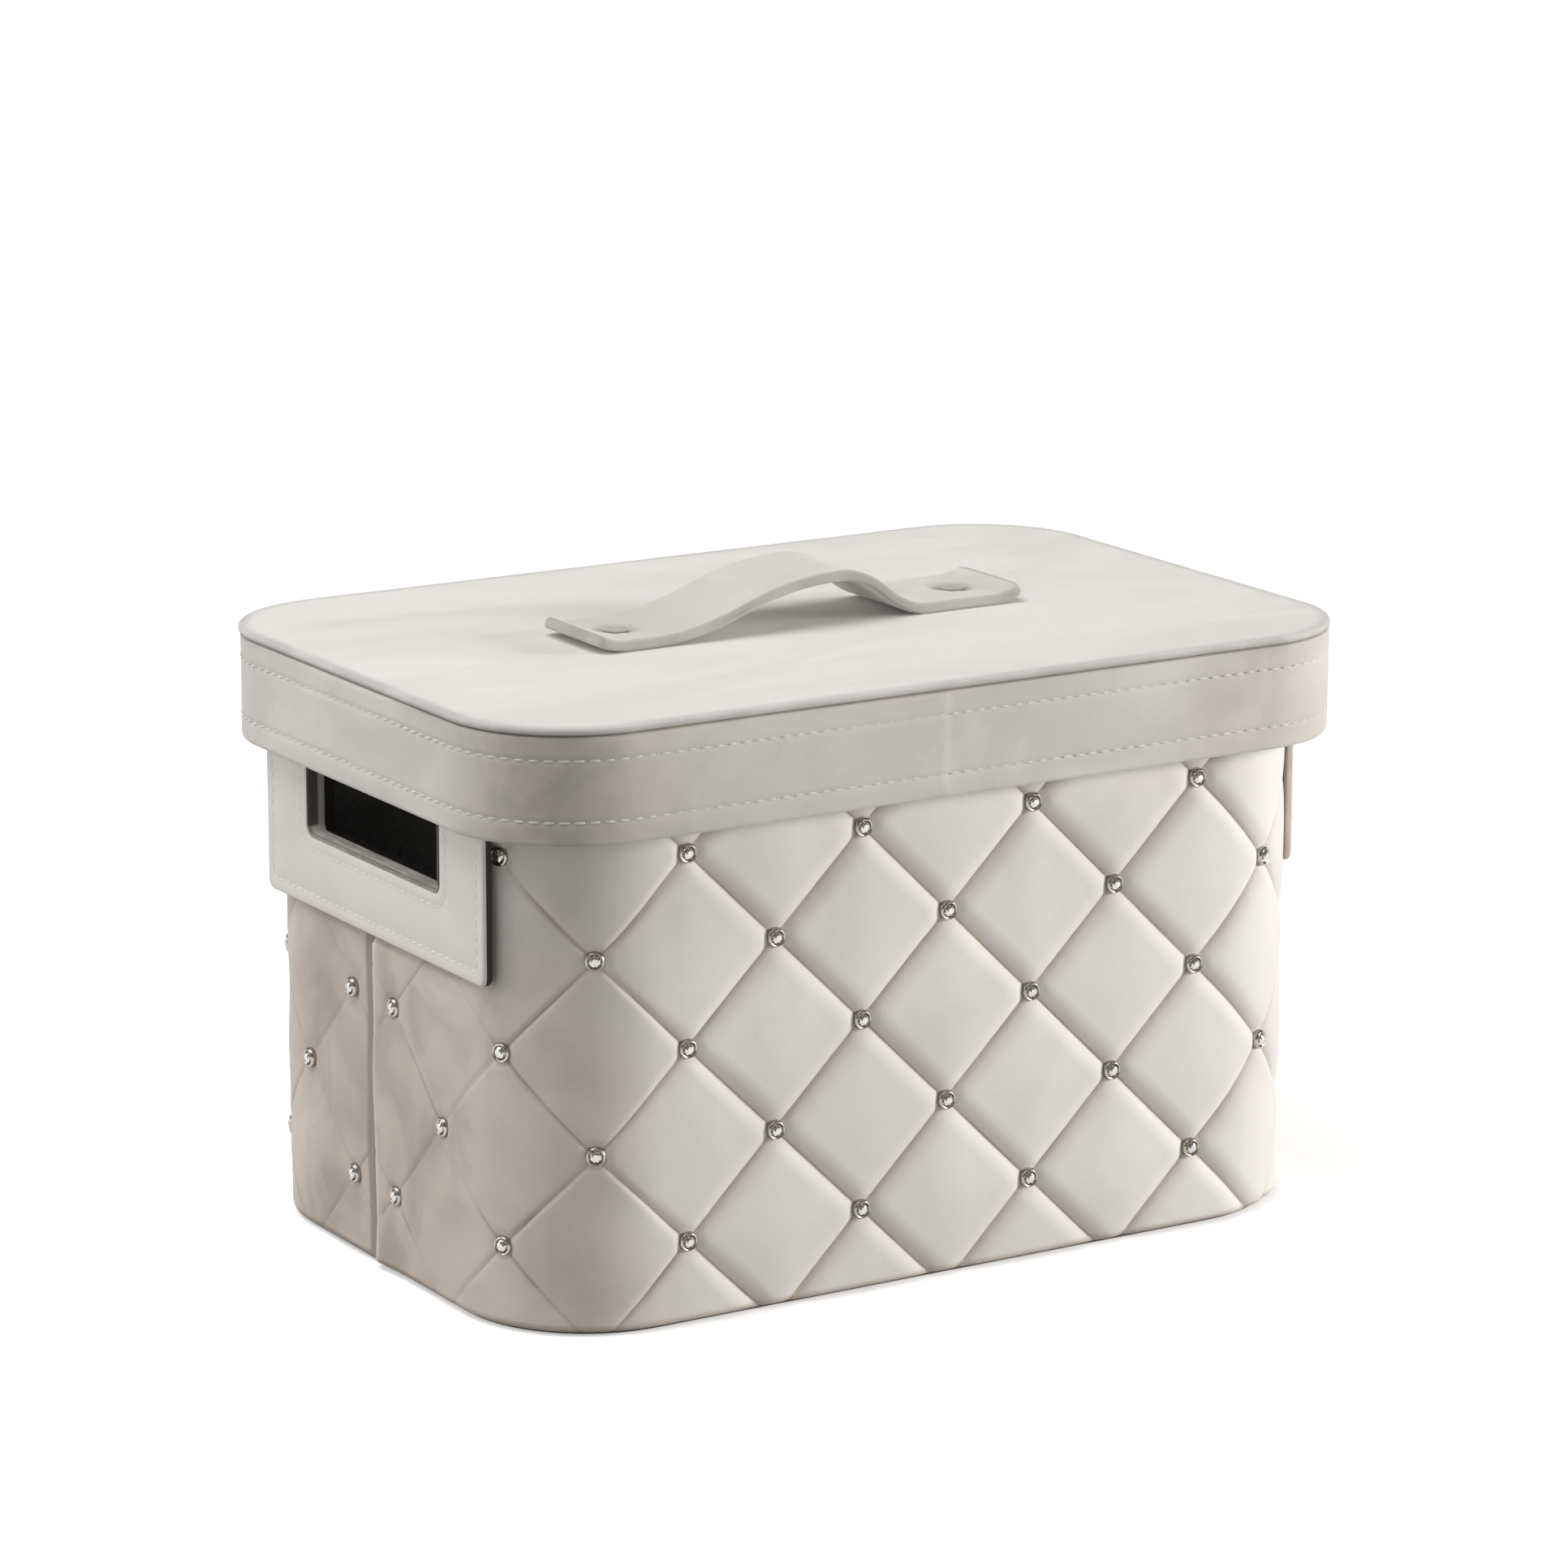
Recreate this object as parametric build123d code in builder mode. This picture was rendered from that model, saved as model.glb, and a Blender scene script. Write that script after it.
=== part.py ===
"""Quilted accessory box with a lift-off lid, made piece by piece.

Millimetres, +Z up. The origin is on the floor under the middle of the box,
the long sides run along X and the front faces -Y.
"""
from build123d import *

import os
from math import acos, asin, atan, cos, degrees, pi, sin

os.makedirs("parts", exist_ok=True)

# Body outline, over the crowns of the quilting
body_length = 323.0
body_depth = 211.0
body_corner = 50.0
rim_height = 200.6

# Layers of the body wall, from the outside in, and of its floor
pad_rise = 3.4
cover_sheet = 1.4
shell_board = 4.0
body_lining = 1.0
binding = 1.5
base_sheet = 1.2
floor_board = 5.0

# Lid: its clearance round the quilting, how much tighter its corners are, and its layers
lid_clearance = 2.0
lid_corner_ease = 6.0
panel_thickness = 2.2
panel_edge = 1.0
panel_lip = 0.5
panel_gap = 0.8
lid_board = 4.0
lid_lining = 1.0
skirt_leather = 1.5
skirt_board = 3.5
skirt_drop = 36.8
skirt_hem = 1.0
seat_gap = 0.2

# Quilting: diamonds of the two half covers, and the bare channel between them
front_diamond = 67.3
back_diamond = 64.4
diamond_height = 65.8
lowest_row = 28.7
channel = 2.4
pad_root = 0.5
pad_tip = 5.0
pad_station_shares = (-0.62, -0.3, 0.0, 0.3, 0.62)
side_relief_share = 0.7
stud_margin = 0.6
seam_shift = 5.0
seam_gap = 0.6

# Studs at the crossings: a metal bezel and a faceted stone
stud_radius = 3.4
stud_top_radius = 2.9
stud_height = 3.0
stud_seat = 0.3
stone_radius = 2.3
stone_pocket = 1.5
stone_height = 2.2
stone_sides = 8
stone_slope = 25.0

# Flat panels on the short sides, hung below the rim, and the hand-holes through them
patch_margin = 28.5
patch_drop = 10.6
patch_height = 73.0
patch_corner = 5.0
patch_leather = 1.6
patch_proud = 0.5
backing_inset = 3.0
hole_length = 92.0
hole_drop = 18.0
hole_height = 29.0
hole_corner = 2.5
sleeve_wall = 1.0

# Strap handle and its two rivets
strap_length = 172.0
strap_width = 40.0
strap_thickness = 4.0
strap_foot = 29.0
arch_rise = 15.0
flare_length = 9.0
flare_rise = 2.0
rivet_inset = 18.0
rivet_head_radius = 4.3
rivet_head = 0.9
rivet_recess = 1.3
shank_radius = 1.8
washer_radius = 6.2
washer_thickness = 1.0

# Slack of a close fit, and how far a cut runs past what it cuts
fit_slack = 0.1
overrun = 2.0

# Insets from the crown outline of the body
sheet_outer = pad_rise
shell_outer = sheet_outer + cover_sheet
shell_inner = shell_outer + shell_board
lining_inner = shell_inner + body_lining

# Insets from the outline of the lid, and that outline, over the top panel
leather_outer = panel_lip
skirt_outer = leather_outer + skirt_leather
skirt_inner = skirt_outer + skirt_board
skirt_lining_inner = skirt_inner + lid_lining
lid_overhang = skirt_lining_inner + lid_clearance
lid_length = body_length + 2 * lid_overhang
lid_depth = body_depth + 2 * lid_overhang
lid_corner = body_corner - lid_corner_ease

# Heights
wall_top = rim_height - binding
floor_top = base_sheet + floor_board
lid_lining_bottom = rim_height + seat_gap
lid_board_bottom = lid_lining_bottom + lid_lining
panel_bottom = lid_board_bottom + lid_board
panel_top = panel_bottom + panel_thickness
skirt_bottom = panel_bottom - skirt_drop
hem_top = skirt_bottom + skirt_hem
strap_top = panel_top + strap_thickness
patch_top = rim_height - patch_drop
patch_bottom = patch_top - patch_height
hole_top = patch_top - hole_drop
hole_bottom = hole_top - hole_height

# Straight and round stretches of the crown outline, from the middle of a long side
long_flat = body_length / 2 - body_corner
corner_run = body_corner * pi / 2
short_flat = body_depth / 2 - body_corner

# Rows of studs that the wall has room for, and the room that one takes
stud_clear = stud_radius + fit_slack + stud_margin
row_count = int((wall_top - stud_clear - lowest_row) / (diamond_height / 2)) + 1

# Length and depth of the panels on the short sides
patch_length = body_depth - 2 * patch_margin
side_face = body_length / 2 + patch_proud
backing_face = side_face - patch_leather
sheet_face = body_length / 2 - sheet_outer
lining_face = body_length / 2 - lining_inner


def finish(builder, name):
    """Label a finished piece and write it."""
    builder.part.label = name
    export_step(builder.part, f"parts/{name}.step")


def body_plate(height, inset):
    """Face of the body outline, drawn in by an inset."""
    with BuildSketch(Plane.XY.offset(height)) as plate:
        RectangleRounded(body_length - 2 * inset, body_depth - 2 * inset, body_corner - inset)
    return plate.sketch


def lid_plate(height, inset):
    """Face of the lid outline, drawn in by an inset."""
    with BuildSketch(Plane.XY.offset(height)) as plate:
        RectangleRounded(lid_length - 2 * inset, lid_depth - 2 * inset, lid_corner - inset)
    return plate.sketch


def ring(plate, height, outer, inner):
    """Face between two insets of the same outline."""
    with BuildSketch(Plane.XY.offset(height)) as band:
        add(plate(0, outer))
        add(plate(0, inner), mode=Mode.SUBTRACT)
    return band.sketch


def side_window(offset, length, bottom, top, corner, grow):
    """Rounded rectangle in a plane across the box, grown by a margin."""
    with BuildSketch(Plane.YZ.offset(offset)) as window:
        with Locations((0, (bottom + top) / 2)):
            RectangleRounded(length + 2 * grow, top - bottom + 2 * grow, corner + grow)
    return window.sketch


def hand_hole(offset, grow):
    """Outline of a hand-hole in a plane across the box, grown by a margin."""
    return side_window(offset, hole_length, hole_bottom, hole_top, hole_corner, grow)


def side_panel(offset, grow):
    """Outline of a side panel in a plane across the box, grown by a margin."""
    return side_window(offset, patch_length, patch_bottom, patch_top, patch_corner, grow)


def cut_hand_holes():
    """Take both hand-holes out of the open part, clear of their sleeves."""
    window = hand_hole(0, sleeve_wall + fit_slack)
    extrude(window, amount=side_face + overrun, both=True, mode=Mode.SUBTRACT)


def wrap(run, facing):
    """Point and outward normal of the crown outline, at a run along it.

    The run starts at the middle of the long side that faces -Y (facing -1) or +Y (facing 1).
    """
    side = 1 if run > 0 else -1
    beyond = abs(run) - long_flat
    if beyond <= 0:
        return Vector(run, facing * body_depth / 2), Vector(0, facing)
    if beyond >= corner_run:
        past = beyond - corner_run
        return Vector(side * body_length / 2, facing * (short_flat - past)), Vector(side, 0)
    turn = beyond / body_corner
    normal = Vector(side * sin(turn), facing * cos(turn))
    return Vector(side * long_flat, facing * short_flat) + normal * body_corner, normal


def run_at_side(distance):
    """Run at which the outline passes a distance from the middle of a short side."""
    if distance <= short_flat:
        return long_flat + corner_run + short_flat - distance
    return long_flat + body_corner * acos((distance - short_flat) / body_corner)


def relief(run):
    """Share of the full rise that a pad keeps: the cover is pulled flatter round the corners."""
    round_share = min(max((abs(run) - long_flat) / corner_run, 0), 1)
    return 1 - round_share * (1 - side_relief_share)


def lens(run, facing, low, high, rise):
    """Section of a pad: a straight foot sunk in the sheet and an arched crown."""
    point, normal = wrap(run, facing)
    foot = -sheet_outer - pad_root
    with BuildSketch(Plane(point, x_dir=normal, z_dir=normal.cross(Vector(0, 0, 1)))) as section:
        with BuildLine():
            Line((foot, low), (foot, high))
            ThreePointArc((foot, high), (rise - pad_rise, (low + high) / 2), (foot, low))
        make_face()
    return section.sketch


def pad(centre, middle, diamond, facing, first, last, floor, ceiling):
    """Pillow of one diamond, kept inside a stretch of run and of height, or None if too small."""
    half_width = diamond / 2
    half_height = (diamond_height - channel) / 2
    need = max(pad_tip / 2, pad_tip - (ceiling - middle), pad_tip - (middle - floor))
    reach = min((1 - need / half_height) * half_width, half_width - stud_clear)
    start = max(centre - reach, first)
    stop = min(centre + reach, last)
    if stop - start < pad_tip:
        return None
    stations = [centre + share * half_width for share in pad_station_shares]
    between = [run for run in stations if start + pad_tip / 2 < run < stop - pad_tip / 2]
    sections = []
    for run in [start, *between, stop]:
        half = min(half_height * (1 - abs(run - centre) / half_width), diamond_height / 2 - stud_clear)
        low = max(middle - half, floor)
        high = min(middle + half, ceiling)
        slack = 1 - (high - low) / (2 * half_height)
        sections.append(lens(run, facing, low, high, pad_rise * relief(run) * (1 - slack**2)))
    return loft(sections, ruled=True, mode=Mode.PRIVATE)


def pads(facing, diamond, seam_run, patch_run):
    """All pillows of one half cover: between the side panels, and below each of them."""
    floor = base_sheet + channel
    rim = wall_top - channel
    below_patch = patch_bottom - channel
    stretches = (
        (-seam_run, -patch_run, below_patch),
        (-patch_run, patch_run, rim),
        (patch_run, seam_run, below_patch),
    )
    columns = int(seam_run / (diamond / 2)) + 1
    pillows = []
    for row in range(-1, row_count + 1):
        middle = lowest_row + row * diamond_height / 2
        for column in range(-columns, columns + 1):
            if (row + column) % 2:
                continue
            for first, last, ceiling in stretches:
                pillow = pad(column * diamond / 2, middle, diamond, facing, first, last, floor, ceiling)
                if pillow is not None:
                    pillows.append(pillow)
    return pillows


def under_panel(point, normal, height):
    """Whether a stud there would stand out into the room behind a side panel."""
    tip = point - normal * (sheet_outer + stud_seat - stud_height)
    reach = abs(tip.X) + stud_top_radius * abs(normal.Y)
    stands_out = reach > sheet_face - stud_margin
    beside = abs(point.Y) < patch_length / 2 + stud_radius
    return stands_out and beside and height > patch_bottom - stud_radius


def stud_planes(facing, diamond, seam_run):
    """Seat planes of the studs: each crossing that no side panel covers."""
    columns = int((seam_run - stud_clear) / (diamond / 2))
    planes = []
    for row in range(row_count):
        height = lowest_row + row * diamond_height / 2
        for column in range(-columns, columns + 1):
            point, normal = wrap(column * diamond / 2, facing)
            if (row + column) % 2 == 0 or under_panel(point, normal, height):
                continue
            seat = point - normal * (sheet_outer + stud_seat) + Vector(0, 0, height)
            planes.append(Plane(seat, x_dir=normal.cross(Vector(0, 0, 1)), z_dir=normal))
    return planes


# Floor of the box
with BuildPart() as base_cover:
    extrude(body_plate(0, shell_outer), amount=base_sheet)
finish(base_cover, "base_cover")

with BuildPart() as base_board:
    extrude(body_plate(base_sheet, shell_inner), amount=floor_board)
finish(base_board, "base_board")

with BuildPart() as base_lining:
    extrude(body_plate(floor_top, lining_inner), amount=body_lining)
finish(base_lining, "base_lining")

# Wall of the box
with BuildPart() as wall_shell:
    extrude(ring(body_plate, base_sheet, shell_outer, shell_inner), amount=wall_top - base_sheet)
    cut_hand_holes()
finish(wall_shell, "wall_shell")

with BuildPart() as wall_lining:
    extrude(ring(body_plate, floor_top, shell_inner, lining_inner), amount=wall_top - floor_top)
    cut_hand_holes()
finish(wall_lining, "wall_lining")

with BuildPart() as rim_binding:
    extrude(ring(body_plate, wall_top, sheet_outer, lining_inner), amount=binding)
finish(rim_binding, "rim_binding")

# Quilted half covers, with their studs
for name, facing, diamond in (("front", -1, front_diamond), ("back", 1, back_diamond)):
    seam_edge = seam_shift + facing * seam_gap / 2
    seam_run = long_flat + corner_run + short_flat - facing * seam_edge
    patch_run = run_at_side(patch_length / 2)
    seats = stud_planes(facing, diamond, seam_run)

    with BuildPart() as cover:
        with BuildSketch(Plane.XY.offset(base_sheet)):
            add(ring(body_plate, 0, sheet_outer, shell_outer))
            with Locations((0, seam_edge)):
                side_away = Align.MIN if facing < 0 else Align.MAX
                Rectangle(body_length, body_depth, align=(Align.CENTER, side_away), mode=Mode.SUBTRACT)
        extrude(amount=wall_top - base_sheet)
        cut_hand_holes()
        with Locations(*seats):
            Cylinder(
                stud_radius + fit_slack,
                stud_seat + overrun,
                align=(Align.CENTER, Align.CENTER, Align.MIN),
                mode=Mode.SUBTRACT,
            )
        add(pads(facing, diamond, seam_run, patch_run))
    finish(cover, f"{name}_cover")

    with BuildPart() as bezels:
        with Locations(*seats):
            Cone(stud_radius, stud_top_radius, stud_height, align=(Align.CENTER, Align.CENTER, Align.MIN))
        with Locations(*[seat.offset(stud_height) for seat in seats]):
            Cylinder(
                stone_radius + fit_slack,
                stone_pocket,
                align=(Align.CENTER, Align.CENTER, Align.MAX),
                mode=Mode.SUBTRACT,
            )
    finish(bezels, f"{name}_stud_bezels")

    with BuildPart() as stones:
        with BuildSketch(*[seat.offset(stud_height - stone_pocket) for seat in seats]):
            RegularPolygon(stone_radius, stone_sides)
        extrude(amount=stone_height, taper=stone_slope)
    finish(stones, f"{name}_stud_crystals")

# Side panels, the pads behind them and the linings of the hand-holes
for name, side in (("left", -1), ("right", 1)):
    with BuildPart() as backing:
        extrude(side_panel(side * sheet_face, -backing_inset), amount=side * (backing_face - sheet_face))
        cut_hand_holes()
    finish(backing, f"{name}_patch_backing")

    with BuildPart() as patch:
        extrude(side_panel(side * backing_face, 0), amount=side * patch_leather)
        cut_hand_holes()
    finish(patch, f"{name}_patch")

    with BuildPart() as sleeve:
        depth = side * (side_face - lining_face)
        outside = hand_hole(side * lining_face, sleeve_wall)
        inside = hand_hole(side * lining_face, 0)
        extrude(outside, amount=depth)
        extrude(inside, amount=depth, mode=Mode.SUBTRACT)
    finish(sleeve, f"{name}_hole_sleeve")

# Lid
rivet_x = strap_length / 2 - rivet_inset
rivet_places = ((-rivet_x, 0), (rivet_x, 0))


def rivet_holes(bottom, top, radius):
    """Take a round hole at each rivet out of the open part, between two heights."""
    with BuildSketch(Plane.XY.offset(bottom)) as holes:
        with Locations(*rivet_places):
            Circle(radius)
    extrude(holes.sketch, amount=top - bottom, mode=Mode.SUBTRACT)


with BuildPart() as lid_panel:
    extrude(lid_plate(panel_bottom, 0), amount=panel_thickness)
    fillet(lid_panel.edges().group_by(Axis.Z)[-1], radius=panel_edge)
    rivet_holes(panel_bottom, panel_top, shank_radius + fit_slack)
finish(lid_panel, "lid_panel")

with BuildPart() as lid_top_board:
    extrude(lid_plate(lid_board_bottom, skirt_outer), amount=lid_board)
    rivet_holes(lid_board_bottom, panel_bottom, shank_radius + fit_slack)
    rivet_holes(lid_board_bottom, lid_board_bottom + washer_thickness, washer_radius + fit_slack)
finish(lid_top_board, "lid_top_board")

with BuildPart() as lid_top_lining:
    extrude(lid_plate(lid_lining_bottom, skirt_inner), amount=lid_lining)
finish(lid_top_lining, "lid_top_lining")

with BuildPart() as lid_skirt_board:
    extrude(ring(lid_plate, hem_top, skirt_outer, skirt_inner), amount=lid_board_bottom - hem_top)
finish(lid_skirt_board, "lid_skirt_board")

with BuildPart() as lid_skirt_lining:
    extrude(ring(lid_plate, hem_top, skirt_inner, skirt_lining_inner), amount=lid_lining_bottom - hem_top)
finish(lid_skirt_lining, "lid_skirt_lining")

with BuildPart() as lid_skirt_cover:
    extrude(ring(lid_plate, skirt_bottom, leather_outer, skirt_lining_inner), amount=skirt_hem)
    extrude(ring(lid_plate, hem_top, leather_outer, skirt_outer), amount=panel_bottom - panel_gap - hem_top)
finish(lid_skirt_cover, "lid_skirt_cover")

# Strap: flat feet, an arch of four equal arcs and tips that flare up
arch_foot = strap_length / 2 - strap_foot
bend_radius = (arch_foot**2 + arch_rise**2) / (4 * arch_rise)
bend_turn = degrees(2 * atan(arch_rise / arch_foot))
flare_start = strap_length / 2 - flare_length
flare_radius = (flare_length**2 + flare_rise**2) / (2 * flare_rise)
flare_turn = degrees(asin(flare_length / flare_radius))
crest_centre = (0, panel_top + arch_rise - bend_radius)
foot_centre = (arch_foot, panel_top + bend_radius)
flare_centre = (flare_start, panel_top + flare_radius)
upward = 90
downward = 270

with BuildPart() as strap_handle:
    with BuildSketch(Plane.XZ):
        with BuildLine():
            tips = []
            for lift in (0, strap_thickness):
                CenterArc(crest_centre, bend_radius + lift, upward - bend_turn, bend_turn)
                CenterArc(foot_centre, bend_radius - lift, downward - bend_turn, bend_turn)
                Line((arch_foot, panel_top + lift), (flare_start, panel_top + lift))
                flare = CenterArc(flare_centre, flare_radius - lift, downward, flare_turn)
                tips.append(flare @ 1)
            Line(*tips)
            mirror(about=Plane.YZ)
        make_face()
    extrude(amount=strap_width / 2, both=True)
    with Locations(*[(x, y, strap_top) for x, y in rivet_places]):
        CounterBoreHole(shank_radius + fit_slack, rivet_head_radius + fit_slack, rivet_recess)
finish(strap_handle, "strap_handle")

with BuildPart() as strap_rivets:
    with BuildSketch(Plane.XY.offset(lid_board_bottom)):
        with Locations(*rivet_places):
            Circle(shank_radius)
    extrude(amount=strap_top - rivet_recess - lid_board_bottom)
    with BuildSketch(Plane.XY.offset(strap_top - rivet_recess)):
        with Locations(*rivet_places):
            Circle(rivet_head_radius)
    extrude(amount=rivet_head)
finish(strap_rivets, "strap_rivets")

with BuildPart() as strap_washers:
    with BuildSketch(Plane.XY.offset(lid_board_bottom)):
        with Locations(*rivet_places):
            Circle(washer_radius)
            Circle(shank_radius + fit_slack, mode=Mode.SUBTRACT)
    extrude(amount=washer_thickness)
finish(strap_washers, "strap_washers")
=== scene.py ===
"""Looks of the quilted accessory box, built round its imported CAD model.

Lengths are in millimetres until a mesh is written. The frame is the CAD's own: +X along the
long sides, the front facing -Y, +Z up, the origin on the floor under the middle of the box.
Every new piece is a surface worked out with numpy as whole arrays.
"""
import logging
import math
from dataclasses import dataclass
from enum import Enum
from functools import lru_cache
from typing import NamedTuple, Sequence

import bmesh
import bpy
import numpy as np
from mathutils import Matrix


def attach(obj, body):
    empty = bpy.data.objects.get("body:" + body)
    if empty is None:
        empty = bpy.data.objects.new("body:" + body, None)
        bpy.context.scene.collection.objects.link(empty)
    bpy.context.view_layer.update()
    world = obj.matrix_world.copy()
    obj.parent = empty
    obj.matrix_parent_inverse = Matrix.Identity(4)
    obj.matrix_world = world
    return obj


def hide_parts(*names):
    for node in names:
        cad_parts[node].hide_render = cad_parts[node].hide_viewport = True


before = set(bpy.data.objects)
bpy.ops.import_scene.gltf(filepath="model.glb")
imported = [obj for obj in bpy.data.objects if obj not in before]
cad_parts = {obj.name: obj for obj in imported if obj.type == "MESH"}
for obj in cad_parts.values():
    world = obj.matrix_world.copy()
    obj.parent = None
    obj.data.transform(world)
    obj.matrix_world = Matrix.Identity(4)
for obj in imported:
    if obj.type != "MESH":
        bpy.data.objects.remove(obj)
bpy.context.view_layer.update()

Array = np.ndarray
Pair = tuple[float, float]
Triple = tuple[float, float, float]
Span = Pair
Colour = Triple
Socket = bpy.types.NodeSocket

MM = 0.001
TAU = 2.0 * math.pi
RIGHT_ANGLE = math.pi / 2
MERGE_MM = 0.002
log = logging.getLogger("accessory_box")

# The painted-shade attribute: up to 1 it paints shade, and from there up to 2 a darker painted shadow
PAINTED_SHADE = "nap"
FULL_SHADE, FULL_SHADOW = 1.0, 2.0

# Ranges that shader values are spread from and to
MOST_NOISE = (0.3, 0.7)
UP = (0.0, 1.0)
DOWN = (1.0, 0.0)
EVEN = (1.0, 1.0, 1.0)
PURE_WHITE = (1.0, 1.0, 1.0)

# Sockets of a Mix node for a share and two colours, by number because their names repeat
MIX_INPUTS = (0, 6, 7)
MIX_OUTPUT = 2

# A pad's shoulder: how much of it is a sine wave, and how much narrower its quarter circle is
SINE_SHARE = 0.55
ROUND_WIDTH = 0.7


class Body(Enum):
    """The CAD bodies that a piece can ride on."""

    BOX = "box"
    LID = "lid"


class Facing(Enum):
    """Which half of the body a cover goes round."""

    FRONT = "front"
    BACK = "back"


class Hand(Enum):
    """A short side of the box, with its sign along X."""

    LEFT = -1
    RIGHT = 1


def rise(value: Array, span: Span) -> Array:
    """Smooth step: 0 below a span, 1 above it, and 3t^2 - 2t^3 of the share t between.

    Args:
        value: Where to read the step.
        span: Values at which it starts and ends.

    Returns:
        The step, shaped as value.
    """
    low, high = span
    t = np.clip((np.asarray(value, float) - low) / (high - low), 0.0, 1.0)
    return t * t * (3.0 - 2.0 * t)


def fall(value: Array, span: Span) -> Array:
    """The same step from 1 down to 0."""
    return 1.0 - rise(value, span)


def bell(value: Array, middle: float, width: float) -> Array:
    """Bell curve: 1 in the middle, and 1/e of that a width away."""
    return np.exp(-(((value - middle) / width) ** 2))


def quarter_round(distance: Array, radius: Array | float) -> Array:
    """Quarter circle: 0 at the edge, upright there, and 1 from one radius on."""
    return np.sqrt(1.0 - (1.0 - np.clip(distance / radius, 0.0, 1.0)) ** 2)


def pillow(distance: Array, width: Array | float) -> Array:
    """Rise from 0 to 1 over a width: a quarter of a sine wave, made steeper at first by a quarter circle."""
    slope = np.sin(RIGHT_ANGLE * np.clip(distance / width, 0.0, 1.0))
    return SINE_SHARE * slope + (1.0 - SINE_SHARE) * quarter_round(distance, ROUND_WIDTH * width)


def shade(colour: Sequence[float], tone: float) -> tuple[float, ...]:
    """A colour made darker or paler by a factor."""
    return tuple(tone * part for part in colour)


def cells(index: Array) -> tuple[Array, Array, Array, Array]:
    """The corners of each cell of a grid of vertex numbers, in order round the cell."""
    return index[:-1, :-1], index[1:, :-1], index[1:, 1:], index[:-1, 1:]


def placed(axes: Sequence[Array], place: Sequence[float]) -> Matrix:
    """The matrix of an object with these three axes at this place."""
    rows = np.column_stack([*axes, place]).tolist()
    return Matrix([*rows, [0.0, 0.0, 0.0, 1.0]])


@dataclass(frozen=True)
class Waves:
    """Uneven field: the mean of sine waves, one of each length, with seeded directions and phases."""

    lengths: tuple[float, ...]
    seed: int

    def at(self, first: Array, second: Array) -> Array:
        """Read the field.

        Args:
            first: First coordinate, in millimetres.
            second: Second coordinate, in millimetres.

        Returns:
            Values between about -1 and 1.
        """
        rng = np.random.default_rng(self.seed)
        total = np.zeros(np.broadcast(first, second).shape)
        for length in self.lengths:
            turn, phase = rng.uniform(0.0, TAU, 2)
            along = first * math.cos(turn) + second * math.sin(turn)
            total += np.sin(TAU * along / length + phase)
        return total / math.sqrt(len(self.lengths))


@dataclass(frozen=True)
class Outline:
    """Rounded rectangle about the origin, followed by its arc length from the middle of the front."""

    length: float
    depth: float
    corner: float

    @property
    def long_flat(self) -> float:
        """Half of a long straight side."""
        return self.length / 2 - self.corner

    @property
    def short_flat(self) -> float:
        """Half of a short straight side."""
        return self.depth / 2 - self.corner

    @property
    def quarter(self) -> float:
        """Run from the middle of a long side to the middle of the next short one."""
        return self.long_flat + self.corner * RIGHT_ANGLE + self.short_flat

    @property
    def round_trip(self) -> float:
        """The whole way round."""
        return 4 * self.quarter

    def even(self, count: int) -> Array:
        """Runs at even steps, all the way round."""
        return self.round_trip * np.arange(count) / count

    def from_front(self, run: Array) -> Array:
        """Runs counted either way from the middle of the front, the left ones negative."""
        return np.where(run > self.round_trip / 2, run - self.round_trip, run)

    def at(self, run: Array) -> tuple[Array, Array]:
        """Points and outward normals: straight, quarter circle, straight, mirrored into each quarter.

        Args:
            run: Arc lengths, towards +X from the middle of the front.

        Returns:
            Points and unit normals, each with a last axis of x, y.
        """
        half = 2 * self.quarter
        run = np.mod(run, self.round_trip)
        left = run > half
        run = np.where(left, self.round_trip - run, run)
        behind = run > self.quarter
        run = np.where(behind, half - run, run)
        turn = np.clip((run - self.long_flat) / self.corner, 0.0, RIGHT_ANGLE)
        past = np.clip(run - self.long_flat - self.corner * RIGHT_ANGLE, 0.0, None)
        x = np.minimum(run, self.long_flat) + self.corner * np.sin(turn)
        y = past - self.short_flat - self.corner * np.cos(turn)
        to_x, to_y = np.where(left, -1.0, 1.0), np.where(behind, -1.0, 1.0)
        points = np.stack([x * to_x, y * to_y], axis=-1)
        return points, np.stack([np.sin(turn) * to_x, -np.cos(turn) * to_y], axis=-1)

    def side_run(self, distance: float) -> float:
        """Run at which the outline passes a distance from the middle of a short side.

        Args:
            distance: Along Y, from the middle of the side.

        Returns:
            The run, in the first quarter.
        """
        if distance <= self.short_flat:
            return self.quarter - distance
        return self.long_flat + self.corner * math.acos((distance - self.short_flat) / self.corner)


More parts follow.
